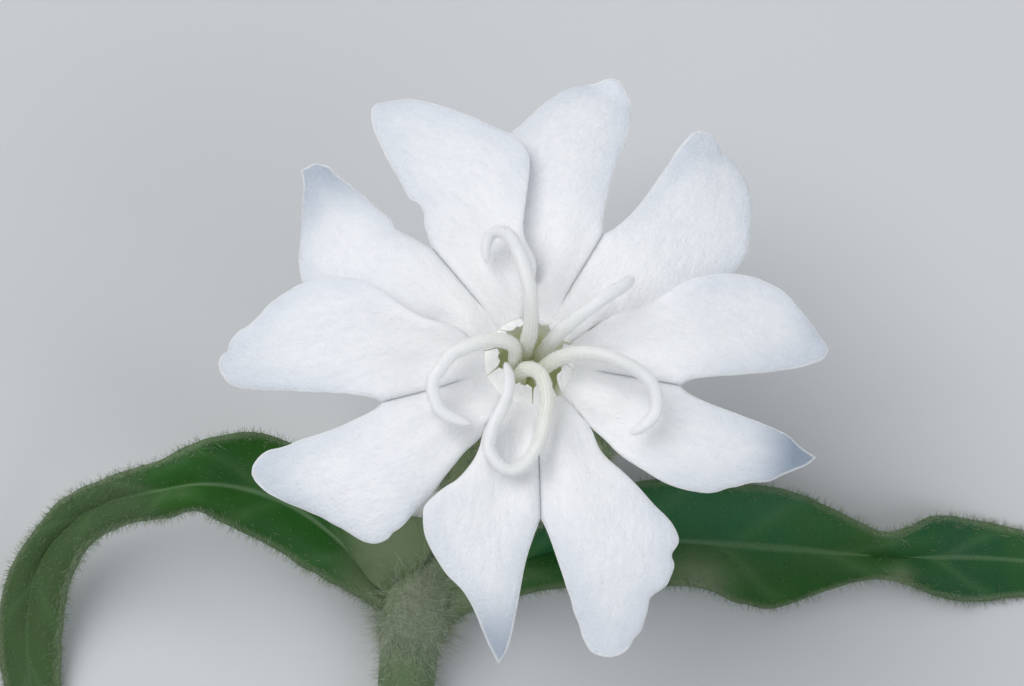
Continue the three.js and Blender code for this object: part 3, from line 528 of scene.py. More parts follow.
leaf_hair_finish = Finish("leaf_hairs", Roughness=0.45)
leaf_hair_finish.colour(leaf_hair_finish.mix(
    leaf_hair_finish.mark("up_hair"), rgb(92, 118, 78), rgb(170, 182, 158)))

for seed, (name, leaf) in enumerate(LEAVES.items(), 21):
    lines = {}
    for side in ("upper", "midrib", "lower"):
        line = Line([leaf["foot"][side], *leaf[side], leaf["tip"]])
        foot_share = line.run[line.steps_per_span] / line.length
        foot_shares = np.linspace(0, foot_share, FOOT_ROWS, endpoint=False)
        lines[side] = line.at(np.concatenate([foot_shares, np.linspace(foot_share, 1, LEAF_ROWS)]))
    shares = np.concatenate([np.zeros(FOOT_ROWS), np.linspace(0, 1, LEAF_ROWS)])
    v = np.linspace(-1, 1, LEAF_COLUMNS + 1)
    rows = []
    for i, t in enumerate(shares):
        margin = np.where(v[:, None] < 0, lines["upper"][i], lines["lower"][i])
        row = lines["midrib"][i] + (margin - lines["midrib"][i]) * np.abs(v)[:, None]
        bulge = BULGE * eased(row[:, 2], 0.5, 2)
        row[:, 2] += bulge * (0.5 - 0.5 * np.cos(2 * math.pi * v))
        rows.append(row)
    rows = np.array(rows)
    # side veins leave the midrib and run on towards the tip, and the blade sinks a little along them all
    t, s = np.meshgrid(shares, v, indexing="ij")
    phase = (t * SIDE_VEINS - np.abs(s) * VEIN_SLOPE + 0.15 * (s > 0)) % 1
    vein = np.exp(-(((phase - 0.5) / VEIN_WIDTH) ** 2))
    vein = vein * eased(np.abs(s), 0.03, 0.15) * (1 - eased(np.abs(s), 0.75, 0.95))
    vein = vein * (1 - eased(t, 0.85, 1)) * eased(t, 0.03, 0.1)
    width = np.linalg.norm(lines["upper"] - lines["lower"], axis=1)[:, None]
    groove = np.exp(-((s * width / GROOVE_WIDTH) ** 2)) * (1 - eased(t, 0.8, 1))
    ripple = waves(rows.reshape(-1, 3), RIPPLE_LENGTH, seed).reshape(t.shape)
    lifted = eased(rows[:, :, 2], 0.4, 1.4)
    relief = RIPPLE_HEIGHT * ripple * np.abs(s) - GROOVE_DEPTH * vein - GROOVE_DEPTH * groove
    rows[:, :, 2] += relief * (0.35 + 0.65 * lifted)
    waver = waves(rows[:, [0, -1]].reshape(-1, 3), MARGIN_LENGTH, seed + 4).reshape(-1, 2) * MARGIN_WAVER
    side = unit(rows[:, -1] - rows[:, 0])
    edge_pull = np.abs(s) ** 3
    rows += (np.where(s < 0, -waver[:, :1], waver[:, 1:]) * edge_pull)[:, :, None] * side[:, None, :]
    # the solid is thicker, so where that lies on the table this one comes down to it
    rows[:, :, 2] -= (SOLID_REST - LEAF_THICKNESS / 2) * (1 - eased(rows[:, :, 2], 0.3, 1.2))
    rows[:, :, 2] = np.maximum(rows[:, :, 2], LEAF_THICKNESS / 2)
    width_columns = LEAF_COLUMNS + 1
    points = np.vstack([rows[:-1].reshape(-1, 3), rows[-1, :1]])
    faces = []
    for i in range(len(rows) - 2):
        for j in range(LEAF_COLUMNS):
            a = i * width_columns + j
            faces.append((a, a + 1, a + 1 + width_columns, a + width_columns))
    tip = len(points) - 1
    faces += [(tip - width_columns + j, tip - width_columns + j + 1, tip) for j in range(LEAF_COLUMNS)]
    body, closed, edge_mm = thin_body(points, faces, LEAF_THICKNESS, 0.5)
    body = body + [*UNDER_THROAT]
    body[:, 2] = np.maximum(body[:, 2], 0)
    # cool marks the half of the right leaf that gets the painted sheen
    marks = {"across": s, "down_leaf": t, "vein": vein, "cool": eased(-s, -0.5, 0.5) * leaf["cool"]}

    def near_spot(x, y, reach):
        return np.exp(-((rows[:, :, 0] - x) ** 2 + (rows[:, :, 1] - y) ** 2) / reach**2)

    # past the left leaf's bend: painted sheen of the down, and more down grows there too
    marks["grey"] = eased(t, leaf["grey_from"], leaf["grey_from"] + 0.08)
    pale_spots = [near_spot(*spot) for spot in leaf["pale_spots"]]
    marks["pale"] = np.maximum.reduce([1 - eased(t, 0, 0.12), *pale_spots])
    marks["warm"] = near_spot(*leaf["warm_spot"])
    marks = {key: np.append(value[:-1].ravel(), value[-1, 0]) for key, value in marks.items()}
    marks = {key: np.tile(value, 2) for key, value in marks.items()}
    marks["from_edge"] = np.tile(edge_mm, 2)
    facing_up = sheet_normals(points, faces)[:, 2] > 0
    marks["underside"] = np.concatenate([~facing_up, facing_up]).astype(float)
    blade = make_piece(f"{name}_blade", body, closed, leaf_finish, **marks)
    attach(blade, "root")
    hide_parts(name)
    at_edge = np.exp(-((marks["from_edge"] / 0.35) ** 2))
    off_table = eased(body[:, 2], 0.1, 0.5)
    lengthwise = (0.25, -0.05, 0) if name == "leaf_right" else (-0.15, -0.2, 0)
    downy = 0.3 + 1.2 * marks["grey"] + 0.6 * marks["pale"] + 0.5 * marks["underside"]
    down = grow_hairs(
        f"{name}_down", blade, leaf_hair_finish, seed=seed, count=4000, length=(0.1, 0.3), thickness=0.016,
        lean=0.5, density=downy * off_table, combed=lengthwise)
    fringe = grow_hairs(
        f"{name}_fringe", blade, leaf_hair_finish, seed=seed + 10, count=4600, length=(0.25, 0.7),
        thickness=0.024, lean=0.45, density=at_edge * eased(body[:, 2], 0.1, 0.3), combed=lengthwise)
    for hairs in (down, fringe):
        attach(hairs, "root")

# The calyx: one thin green cup, blown up a little round the ovary, with twenty raised ribs, a net of fine
# veins between them and five teeth at its mouth. It grows from the top of the stem, and is finely hairy.
LEAN_BACK, LEAN_RIGHT = math.radians(17), math.radians(3)
CALYX_RADIUS = [[-19, 1.5], [-18.2, 2.8], [-16.5, 4.05], [-13, 5.0], [-9.5, 5.05], [-6, 4.25], [-3.5, 3.6]]
CALYX_MOUTH, CALYX_BASE, CALYX_FLOOR = -3.5, -19, -17.9
CALYX_RIBS, RIB_HEIGHT = 20, 0.22
CALYX_WALL = 0.45
TOOTH_LENGTH, TOOTH_SPREAD, TOOTH_BAY, FIRST_TOOTH = 2.3, 0.75, 0.15, math.radians(25)
CALYX_COLUMNS, WALL_ROWS, TOOTH_ROWS = 240, 70, 18


def in_flower(points):
    """Points given from the throat, with +Z out of the flower's face, turned and moved to where they are."""
    back, right = (math.cos(LEAN_BACK), math.sin(LEAN_BACK)), (math.cos(LEAN_RIGHT), math.sin(LEAN_RIGHT))
    turn_right = np.array([[right[0], 0, right[1]], [0, 1, 0], [-right[1], 0, right[0]]])
    turn_back = np.array([[1, 0, 0], [0, back[0], back[1]], [0, -back[1], back[0]]])
    return np.asarray(points) @ (turn_back @ turn_right).T + THROAT


column = np.arange(CALYX_COLUMNS)
bearing = FIRST_TOOTH + column / CALYX_COLUMNS * 2 * math.pi
rib_wave = np.cos((bearing - FIRST_TOOTH) * CALYX_RIBS)
rib = np.clip((rib_wave - 0.2) / 0.8, 0, 1) ** 1.3
per_tooth = CALYX_COLUMNS / 5
off_tooth = np.abs((column + per_tooth / 2) % per_tooth - per_tooth / 2) / (per_tooth / 2)
tooth = TOOTH_BAY + (1 - TOOTH_BAY) * (1 - off_tooth) ** 1.35
calyx_rows, calyx_marks = [], []


def calyx_row(radius, height, rib_share, outside):
    swell = 0.06 * np.sin(3 * bearing + height * 0.4) * (1 if outside else 0)
    r = radius + RIB_HEIGHT * rib * rib_share + swell
    height = np.broadcast_to(height, r.shape)
    calyx_rows.append(np.stack([r * np.cos(bearing), r * np.sin(bearing), height], axis=1))
    calyx_marks.append([outside, np.mean(height)])


mouth_radius = float(along(CALYX_RADIUS, CALYX_MOUTH))
heights = CALYX_BASE + (CALYX_MOUTH - CALYX_BASE) * np.linspace(0, 1, WALL_ROWS) ** 1.2
for row, z in enumerate(heights):
    calyx_row(along(CALYX_RADIUS, z), z, eased(row, 0, 4), 1)
for t in np.linspace(0, 1, TOOTH_ROWS + 1)[1:]:
    spread = TOOTH_SPREAD * tooth * t**1.3
    calyx_row(mouth_radius + spread, CALYX_MOUTH + TOOTH_LENGTH * tooth * t - 0.1 * t, 1 - t, 1)
for t in np.linspace(1, 0, TOOTH_ROWS + 1)[:-1]:
    spread = TOOTH_SPREAD * tooth * t**1.3
    wall = CALYX_WALL * (1 - 0.5 * t)
    calyx_row(mouth_radius - wall + spread, CALYX_MOUTH + TOOTH_LENGTH * tooth * t, 0, 0)
for z in heights[::-1]:
    if z > CALYX_FLOOR + 0.4:
        calyx_row(along(CALYX_RADIUS, z) - CALYX_WALL, z, 0, 0)
calyx_row(1.9, CALYX_FLOOR, 0, 0)
calyx_points = np.vstack(calyx_rows)
calyx_faces = skin_of((len(calyx_rows), CALYX_COLUMNS))
calyx_faces.append(tuple(range(CALYX_COLUMNS))[::-1])
calyx_faces.append(tuple(range(len(calyx_points) - CALYX_COLUMNS, len(calyx_points))))
on_outside = np.repeat([m[0] for m in calyx_marks], CALYX_COLUMNS)
on_rib = np.tile(rib, len(calyx_rows)) * on_outside
up_calyx = (calyx_points[:, 2] - CALYX_BASE) / (CALYX_MOUTH - CALYX_BASE)

calyx_finish = Finish(
    "calyx_green", Roughness=0.55, Subsurface_Weight=0.4, Subsurface_Scale=0.0008,
    Subsurface_Radius=(0.7, 1.0, 0.4))
up, net, blotch = calyx_finish.mark("up_calyx"), calyx_finish.cells(950.0), calyx_finish.speckle(2.0, 3.0)
calyx_finish.colour(calyx_finish.over(
    calyx_finish.mix(calyx_finish.step(up, 0.1, 0.9), rgb(156, 170, 118), rgb(136, 154, 104)),
    (calyx_finish.step(blotch, 0.45, 0.7) * 0.4, rgb(172, 178, 140)),
    ((1 - calyx_finish.step(net, 0.0, 0.08)) * 0.35, rgb(108, 132, 80)),
    (calyx_finish.step(calyx_finish.mark("on_rib"), 0.25, 0.8) * 0.75, rgb(92, 116, 66)),
    (calyx_finish.step(up, 0.85, 1.1) * 0.35, rgb(132, 108, 84))))
calyx_finish.roughness(0.5 + 0.25 * blotch)
calyx_finish.relief(calyx_finish.step(net, 0.0, 0.1), 0.04)
calyx = make_piece(
    "calyx_cup", in_flower(calyx_points), calyx_faces, calyx_finish, on_rib=on_rib, up_calyx=up_calyx)
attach(calyx, "root")
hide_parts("calyx")

ribs_first = on_outside * (0.5 + 1.0 * on_rib) * (up_calyx > 0.02)
calyx_hairs = grow_hairs(
    "calyx_hairs", calyx, hair_finish, seed=41, count=8000, length=(0.3, 0.9), thickness=0.026, lean=0.3,
    density=ribs_first, combed=(0, 0, 0.25))
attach(calyx_hairs, "root")

# The five petals: thin, silky white blades on claws that stand side by side inside the calyx. Each limb is
# cut into two lobes with slightly ragged ends. Two small toothed scales, where it leaves its claw, lean in
# over the throat.
PETALS = {
    "petal_upper_right": {
        "bearing": 61, "scale_lean": 28, "notch": [3.65, 6.45],
        "left": {
            "inner": [
                [3.65, 7.2], [3.85, 8.3], [4.35, 10.1], [4.85, 11.45], [5.15, 12.7], [5.25, 13.75],
                [5.0, 14.45],
            ],
            "tip": [4.7, 15.15],
            "outer": [
                [0.45, 4.15], [0.1, 4.9], [-0.5, 6.3], [-1.2, 8.1], [-1.4, 10.1], [-1.2, 11.6],
                [-0.35, 12.7], [0.45, 13.55], [1.3, 14.4], [2.1, 14.95], [2.75, 15.15], [3.45, 15.15],
                [4.2, 15.3],
            ],
            "root": 30, "edge": -0.9, "droop": 0.4, "tip_shade": 0.1,
        },
        "right": {
            "inner": [[4.2, 6.75], [5.0, 7.5], [6.5, 9.65], [7.3, 10.95], [7.7, 11.55]],
            "tip": [8.2, 12.15],
            "outer": [
                [3.1, 1.95], [4.4, 2.1], [6.6, 2.0], [8.9, 2.95], [10.25, 4.95], [10.75, 5.75],
                [11.0, 6.65], [11.2, 8.75], [11.1, 9.6], [10.65, 10.65], [10.1, 11.25], [9.75, 11.4],
                [9.55, 11.9], [9.2, 12.2], [8.7, 12.3],
            ],
            "root": 30, "edge": -0.9, "droop": 0.2, "tip_shade": 0.15,
        },
    },
    "petal_upper_left": {
        "bearing": 132, "scale_lean": 33, "notch": [-4.8, 5.55],
        "left": {
            "inner": [
                [-5.55, 5.95], [-6.55, 6.55], [-6.75, 7.05], [-7.35, 7.6], [-8.25, 8.55], [-9.0, 9.2],
                [-9.5, 9.6], [-9.85, 10.05],
            ],
            "tip": [-10.35, 10.25],
            "outer": [
                [-4.3, 1.9], [-7.0, 1.6], [-9.3, 2.2], [-11.0, 3.95], [-11.25, 5.1], [-11.2, 7.3],
                [-11.15, 9.4], [-11.25, 10.0], [-11.0, 10.1], [-10.7, 10.25],
            ],
            "root": 28, "edge": -0.9, "droop": 0.4, "tip_shade": 0.75,
        },
        "right": {
            "inner": [
                [-5.15, 6.7], [-5.2, 7.35], [-5.5, 7.9], [-5.85, 8.1], [-6.35, 9.1], [-6.95, 10.25],
                [-7.45, 11.5], [-7.8, 12.4], [-7.85, 13.05], [-7.8, 13.35],
            ],
            "tip": [-7.6, 13.6],
            "outer": [
                [0.0, 3.9], [0.05, 4.9], [-0.35, 6.3], [-0.2, 8.0], [-0.05, 9.35], [-0.1, 10.4],
                [-0.55, 11.2], [-1.4, 11.7], [-3.0, 12.55], [-4.25, 13.1], [-5.1, 13.45], [-5.95, 13.7],
                [-6.8, 13.7],
            ],
            "root": 30, "edge": 0.45, "droop": 0.3, "tip_shade": 0.1,
        },
    },
    "petal_left": {
        "bearing": 200, "scale_lean": 34, "notch": [-7.1, -2.35],
        "left": {
            "inner": [
                [-7.55, -2.75], [-8.35, -3.15], [-9.3, -3.55], [-10.85, -4.0], [-11.95, -4.35],
                [-12.5, -4.45], [-12.85, -4.65], [-13.25, -5.2],
            ],
            "tip": [-13.3, -5.65],
            "outer": [
                [-2.1, -2.9], [-2.55, -3.85], [-3.45, -5.1], [-4.1, -5.95], [-4.7, -6.75], [-5.45, -7.55],
                [-6.15, -8.35], [-6.5, -8.55], [-6.75, -8.85], [-7.2, -9.05], [-7.5, -9.05], [-8.1, -8.8],
                [-9.55, -7.9], [-10.8, -7.3], [-12.55, -6.5], [-13.05, -6.05],
            ],
            "root": 31, "edge": -0.6, "droop": 0.5, "tip_shade": 0.3,
        },
        "right": {
            "inner": [
                [-7.9, -2.1], [-8.85, -1.95], [-10.9, -1.75], [-14.0, -1.4], [-14.55, -1.15], [-14.9, -0.7],
            ],
            "tip": [-15.05, -0.2],
            "outer": [
                [-3.3, 1.05], [-4.35, 1.35], [-5.25, 1.75], [-6.0, 2.15], [-7.0, 2.9], [-7.65, 3.35],
                [-8.5, 3.7], [-9.35, 3.8], [-10.15, 3.75], [-11.15, 3.5], [-12.0, 3.05], [-12.8, 2.4],
                [-13.55, 1.6], [-14.1, 1.3], [-14.5, 0.8], [-14.6, 0.4], [-14.9, 0.2],
            ],
            "root": 31, "edge": 0.45, "droop": 0.3, "tip_shade": 0.15,
        },
    },
    "petal_lower": {
        "bearing": 274.5, "scale_lean": 35, "notch": [0.5, -7.9],
        "left": {
            "inner": [
                [0.7, -8.3], [1.05, -9.25], [1.75, -11.2], [2.3, -12.75], [2.65, -13.7], [2.95, -14.15],
                [3.45, -14.35],
            ],
            "tip": [3.9, -14.4],
            "outer": [
                [2.1, -2.85], [2.8, -3.65], [3.6, -4.8], [4.45, -5.6], [5.1, -6.25], [6.0, -7.25],
                [6.75, -8.0], [7.1, -8.65], [7.1, -9.0], [6.8, -9.55], [6.9, -10.0], [6.8, -10.4],
                [6.6, -10.9], [5.85, -11.5], [5.7, -11.95], [5.35, -13.05], [5.0, -13.5], [4.75, -13.95],
                [4.35, -14.25],
            ],
            "root": 33, "edge": -0.35, "droop": 0.3, "tip_shade": 0.2,
        },
        "right": {
            "inner": [
                [0.35, -8.3], [-0.15, -9.8], [-0.35, -10.8], [-0.7, -12.7], [-0.85, -13.45], [-1.0, -13.95],
            ],
            "tip": [-1.4, -14.6],
            "outer": [
                [-1.5, -2.85], [-2.1, -4.1], [-2.45, -4.8], [-2.85, -5.5], [-3.5, -6.25], [-4.05, -6.6],
                [-4.65, -7.1], [-5.05, -7.55], [-5.1, -7.95], [-5.0, -8.85], [-4.0, -10.6], [-3.15, -11.45],
                [-2.75, -12.0], [-1.9, -13.7],
            ],
            "root": 34, "edge": 0.3, "droop": 0.8, "tip_shade": 0.85,
        },
    },
    "petal_right": {
        "bearing": 349.3, "scale_lean": 29, "notch": [7.25, -1.3],
        "left": {
            "inner": [[7.7, -1.05], [8.45, -0.9], [9.9, -0.7], [11.5, -0.4], [13.5, 0.1], [14.5, 0.55]],
            "tip": [14.8, 1.05],
            "outer": [
                [3.3, 1.4], [4.35, 2.05], [6.05, 2.8], [7.0, 3.45], [7.85, 3.95], [8.95, 4.25],
                [10.15, 4.4], [11.55, 4.15], [12.55, 3.65], [13.3, 2.9], [14.1, 2.0], [14.6, 1.4],
            ],
            "root": 31, "edge": 0.45, "droop": 0.4, "tip_shade": 0.2,
        },
        "right": {
            "inner": [[7.65, -1.65], [8.45, -2.05], [10.4, -2.65], [12.5, -3.35], [13.2, -3.9]],
            "tip": [14.05, -4.35],
            "outer": [
                [2.45, -2.4], [3.15, -3.3], [4.2, -4.65], [5.3, -5.45], [6.6, -6.15], [8.0, -6.45],
                [8.8, -6.45], [9.65, -6.15], [10.75, -5.85], [11.7, -5.65], [12.7, -5.2], [13.6, -4.75],
            ],
            "root": 33, "edge": -0.35, "droop": 0.6, "tip_shade": 1.25,
        },
    },
}
CLAW_RADIUS = [[-16.9, 2.3], [-15, 3.25], [-12.5, 3.6], [-9, 3.2], [-5, 2.2], [-1.6, 1.8]]
CLAW_SHARE = [[-16.9, 0.45], [-14.5, 0.95], [-1.6, 0.95]]  # of the room up to the neighbours' claws
LIMB_HEIGHT = [[2.5, -0.5], [3.4, -0.15], [5, 0.05], [8, 0.2], [11, -0.05], [15.5, -0.9]]
LIMB_START = 2.5
TIP_FLATTENS = (0.9, 3.5)  # a lobe flattens out towards its tip between these widths
HOLLOW = 0.3  # how far the middle of a limb sinks towards the notch
DROOP_RADII = (7, 17)  # the lobes droop between these distances from the throat
PETAL_THICKNESS = 0.34
ROOT_SPREAD = 0.29  # each side of a limb reaches farther by the throat, so that the five limbs meet there
CREASE_DEPTH, CREASE_WIDTH = 0.15, 0.16  # the crease between the lobes
RAGGED_FROM = 9  # how far from the throat the margins begin to be ragged
THROAT_GLOW = 0.38  # how strongly the claws glow, a painted glow for the light that comes through the calyx
CLAW_ROWS, BASE_ROWS, LOBE_ROWS, LOBE_COLUMNS = 26, 40, 64, 22
WAIST_STEP = 0.005  # how finely a margin is searched for its point beside the notch
SCALE_WIDTH, SCALE_HEIGHT, SCALE_RADIUS, SCALE_FOOT = 1.31, 1.55, 2.3, -0.95
SCALE_SPREAD = 16.8  # degrees that each of the two scales stands away from the middle of its petal
SCALE_ROWS, SCALE_COLUMNS, SCALE_THICKNESS = 14, 30, 0.13


def petal_height(radius, share, lobe, relief):
    """How high a limb is, share being 0 along its middle and 1 at its outer margin."""
    edge = lobe["edge"] * eased(radius, 3.0, 5.2) * share**1.6
    bend = -HOLLOW * eased(radius, LIMB_START, 7) * (1 - share) ** 2
    droop = lobe["droop"] * eased(radius, *DROOP_RADII) * 2
    return along(LIMB_HEIGHT, radius) + (edge + bend) * relief - droop


def ragged(side, seed, from_radius, depth):
    """A margin's points moved in and out a little, more so towards the ragged end of its lobe."""
    radius = np.hypot(side[:, 0], side[:, 1])
    fine = waves(side, 0.75, seed) + 0.8 * waves(side, 1.9, seed + 1)
    return fine * depth * (0.25 + 0.75 * eased(radius, from_radius, from_radius + 3))


class Sheet:
    """Rows of points that are joined one after the other, with a mark or more for each point."""

    def __init__(self):
        self.points, self.faces, self.marks, self.last = [], [], [], None

    def row(self, points, marks, reverse=False):
        first = len(self.points)
        self.points += list(points)
        self.marks += list(marks)
        numbers = list(range(first, len(self.points)))
        return numbers[::-1] if reverse else numbers

    def join(self, numbers):
        if self.last is not None:
            for j in range(len(self.last) - 1):
                if len(numbers) == 1:
                    self.faces.append((self.last[j], self.last[j + 1], numbers[0]))
                else:
                    self.faces.append((self.last[j], self.last[j + 1], numbers[j + 1], numbers[j]))
        self.last = numbers


def petal_sheet(petal, seed):
    """The middle layer of a petal, with the marks (radius, claw, crease, painted tip shade, painted glow) of
    each point.
    """
    middle_bearing = math.radians(petal["bearing"])
    out = np.array([math.cos(middle_bearing), math.sin(middle_bearing), 0])
    sheet = Sheet()
    spread = np.linspace(1, -1, 2 * LOBE_COLUMNS + 1)
    turns = [other["bearing"] - petal["bearing"] for other in PETALS.values() if other is not petal]
    room = np.where(spread > 0, min(turn % 360 for turn in turns), min(-turn % 360 for turn in turns)) / 2
    for z in np.linspace(CLAW_RADIUS[0][0], CLAW_RADIUS[-1][0], CLAW_ROWS):
        radius = float(along(CLAW_RADIUS, z))
        angle = middle_bearing + spread * np.radians(room) * float(along(CLAW_SHARE, z))
        row = np.stack([radius * np.cos(angle), radius * np.sin(angle), np.full(len(angle), z)], axis=1)
        # the claws glow faintly down in the throat: painted glow
        glow = THROAT_GLOW * eased(-z, 0.2, 2.0)
        sheet.join(sheet.row(row, [(0, 1, 0, 0, glow)] * len(spread)))

    def throat_point(turn):
        return [LIMB_START * math.cos(middle_bearing + turn), LIMB_START * math.sin(middle_bearing + turn)]

    notch = np.array([*petal["notch"], 0.0])
    sides, waists = {}, {}
    for name, sign in (("left", 1), ("right", -1)):
        turn = sign * math.radians(petal[name]["root"])
        sides[name] = Line([throat_point(turn), *petal[name]["outer"], petal[name]["tip"]])
        levels = sides[name].at(np.arange(0, 1, WAIST_STEP)) @ out
        waists[name] = WAIST_STEP * np.argmax(levels >= notch @ out)
    middle_start = np.array([*throat_point(0), 0.0])
    shares = 0.5 - 0.5 * np.cos(math.pi * np.linspace(0, 1, LOBE_COLUMNS + 1))

    def limb_row(inner, outer, lobe, shares, relief=1, crease=0, shade=0):
        row = inner + (outer - inner) * shares[:, None]
        radius = np.hypot(row[:, 0], row[:, 1])
        crease = crease * np.exp(-((np.linalg.norm(row[:, :2] - inner[:2], axis=1) / CREASE_WIDTH) ** 2))
        row[:, 2] = petal_height(radius, shares, lobe, relief) - CREASE_DEPTH * crease
        return row, [(r, 0, c, shade, 0) for r, c in zip(radius, crease)]

    margins = {}
    for name in ("left", "right"):
        t = np.linspace(0, 1, BASE_ROWS + 1)
        margins[name] = sides[name].at(waists[name] * t)
        away = unit(margins[name] - (middle_start + (notch - middle_start) * t[:, None]))
        radius = np.hypot(margins[name][:, 0], margins[name][:, 1])
        ragged_mm = ragged(margins[name], seed + 3, RAGGED_FROM, depth=0.05) * eased(radius, 4, 6)
        spread_mm = ROOT_SPREAD * eased(radius, 1.2, 2.6) * (1 - eased(radius, 4.0, 5.8))
        margins[name] = margins[name] + away * (ragged_mm + spread_mm)[:, None]
    for i, t in enumerate(np.linspace(0, 1, BASE_ROWS + 1)):
        middle = middle_start + (notch - middle_start) * t
        crease = eased(t, 0.05, 0.3)
        left, left_marks = limb_row(middle, margins["left"][i], petal["left"], shares, 1, crease)
        right, right_marks = limb_row(middle, margins["right"][i], petal["right"], shares, 1, crease)
        sheet.join(sheet.row([*left[::-1], *right[1:]], [*left_marks[::-1], *right_marks[1:]]))

    notch_row = sheet.last
    for name, start in (("left", notch_row[: LOBE_COLUMNS + 1]), ("right", notch_row[LOBE_COLUMNS:])):
        lobe = petal[name]
        t = 1 - (1 - np.linspace(0, 1, LOBE_ROWS + 1)[1:]) ** 1.25
        inner = Line([petal["notch"], *lobe["inner"], lobe["tip"]]).at(t)
        outer = sides[name].at(waists[name] + (1 - waists[name]) * t)
        away = unit(outer - inner)
        fade = (1 - t**6)[:, None]
        outer = outer + away * ragged(outer, seed + 3, RAGGED_FROM, depth=0.06)[:, None] * fade
        ragged_inner = ragged(inner, seed + 5, RAGGED_FROM + 1, depth=0.05)[:, None]
        inner = inner - away * ragged_inner * fade * eased(t, 0, 0.1)[:, None]
        sheet.last = start
        for i in range(LOBE_ROWS):
            last_row = i == LOBE_ROWS - 1
            relief = eased(np.linalg.norm(outer[i] - inner[i]), *TIP_FLATTENS)
            crease = 1 - eased(t[i], 0, 0.12)
            shade = lobe["tip_shade"] * eased(t[i], 0.42, 0.92)
            row_shares = shares[:1] if last_row else shares
            row, marks = limb_row(inner[i], outer[i], lobe, row_shares, relief, crease, shade)
            if name == "left":
                row, marks = row[::-1], marks[::-1]
            sheet.join(sheet.row(row, marks))
    return np.array(sheet.points), sheet.faces, np.array(sheet.marks)


def scale_sheet(bearing, lean, seed):
    """One scale's middle layer: a small flap, curved round the throat, with fine teeth along its top."""
    chance = np.random.default_rng(seed)
    u = np.linspace(-1, 1, SCALE_COLUMNS + 1)
    teeth = 0.985 + 0.015 * np.cos(4 * math.pi * u + chance.uniform(-0.6, 0.6)) - 0.1 * np.abs(u) ** 6
    sheet = Sheet()
    for t in np.linspace(0, 1, SCALE_ROWS + 1):
        half = SCALE_WIDTH / 2 * (1 - 0.08 * t**3)
        height = SCALE_HEIGHT * t * teeth * chance.uniform(0.995, 1.005)
        radius = SCALE_RADIUS - height * math.sin(lean) + 0.10 * t**4 + 0.03 * np.cos(2 * math.pi * u) * t
        turn = bearing - half * u / SCALE_RADIUS
        rise = SCALE_FOOT + height * math.cos(lean)
        row = np.stack([radius * np.cos(turn), radius * np.sin(turn), rise], axis=1)
        # the scales get a painted glow, weaker towards their tops
        sheet.join(sheet.row(row, [(SCALE_RADIUS, 0, 0, 0, 0.5 - 0.2 * t)] * len(u)))
    return np.array(sheet.points), sheet.faces, np.array(sheet.marks)


petal_finish = Finish(
    "petal_white", Roughness=0.5, Subsurface_Weight=0.6, Subsurface_Scale=0.0011,
    Subsurface_Radius=(1.0, 0.97, 0.92), Sheen_Weight=0.15, Sheen_Roughness=0.4)
radius_mark, claw, rim = (petal_finish.mark(m) for m in ("radius", "claw", "from_edge"))
silk_place = petal_finish.node("CombineXYZ", {}, {
    0: petal_finish.mark("run_across"), 1: radius_mark * 0.22, 2: 0.0})
silk = petal_finish.node("TexNoise", {}, {
    "Vector": silk_place, "Scale": 5.0, "Detail": 4.0, "Roughness": 0.65})
sugar, cloud = petal_finish.speckle(0.16, 1.0), petal_finish.speckle(3.0, 2.0)
patchy = petal_finish.step(petal_finish.speckle(4.5, 1.0), 0.3, 0.7)
# painted shade: the limbs turn a patchy blue-grey towards their outer ends
far_shade = petal_finish.step(radius_mark, 9.0, 15.5) * patchy
# painted shade: a blue-grey band within about 1.7 mm of the margins, away from the throat
edge_shade = (1 - petal_finish.step(rim, 0.2, 1.7)) * petal_finish.step(radius_mark, 6.0, 10.0)
petal_finish.colour(petal_finish.over(
    petal_finish.mix(cloud, rgb(247, 248, 252), rgb(238, 240, 247)),
    (petal_finish.step(silk, 0.35, 0.7) * 0.4, rgb(224, 228, 238)),
    (far_shade * 0.6, rgb(206, 213, 223)),
    (edge_shade * 0.45, rgb(200, 209, 222)),
    # painted shade on the lobes' tips, strongest on those that droop away from the lamp
    (petal_finish.mark("tip_shade") * 0.9, rgb(138, 152, 168)),
    # painted light: the limbs are whiter towards the throat, against the shade that falls there
    ((1 - petal_finish.step(radius_mark, 4.5, 9.5)) * 0.7, rgb(253, 253, 253)),
    (claw, rgb(210, 212, 194)),
    # painted shade: grey along the crease between the lobes
    (petal_finish.mark("crease") * 0.45, rgb(176, 184, 186)),
    # a thin painted highlight along the margins, except on the claws
    ((1 - petal_finish.step(rim, 0.03, 0.16)) * (1 - claw) * 0.7, rgb(250, 251, 253))))
# a faint painted glow on the claws and scales in the throat stands in for the light that comes through the
# green calyx
glow_tint = petal_finish.mix(claw, rgb(158, 159, 155), rgb(134, 138, 108))
petal_finish.glow(petal_finish.mix(petal_finish.mark("glow"), rgb(0, 0, 0), glow_tint))
petal_finish.roughness(0.42 + 0.25 * silk)
petal_finish.relief(silk * 0.75 + sugar * 0.25, 0.18)

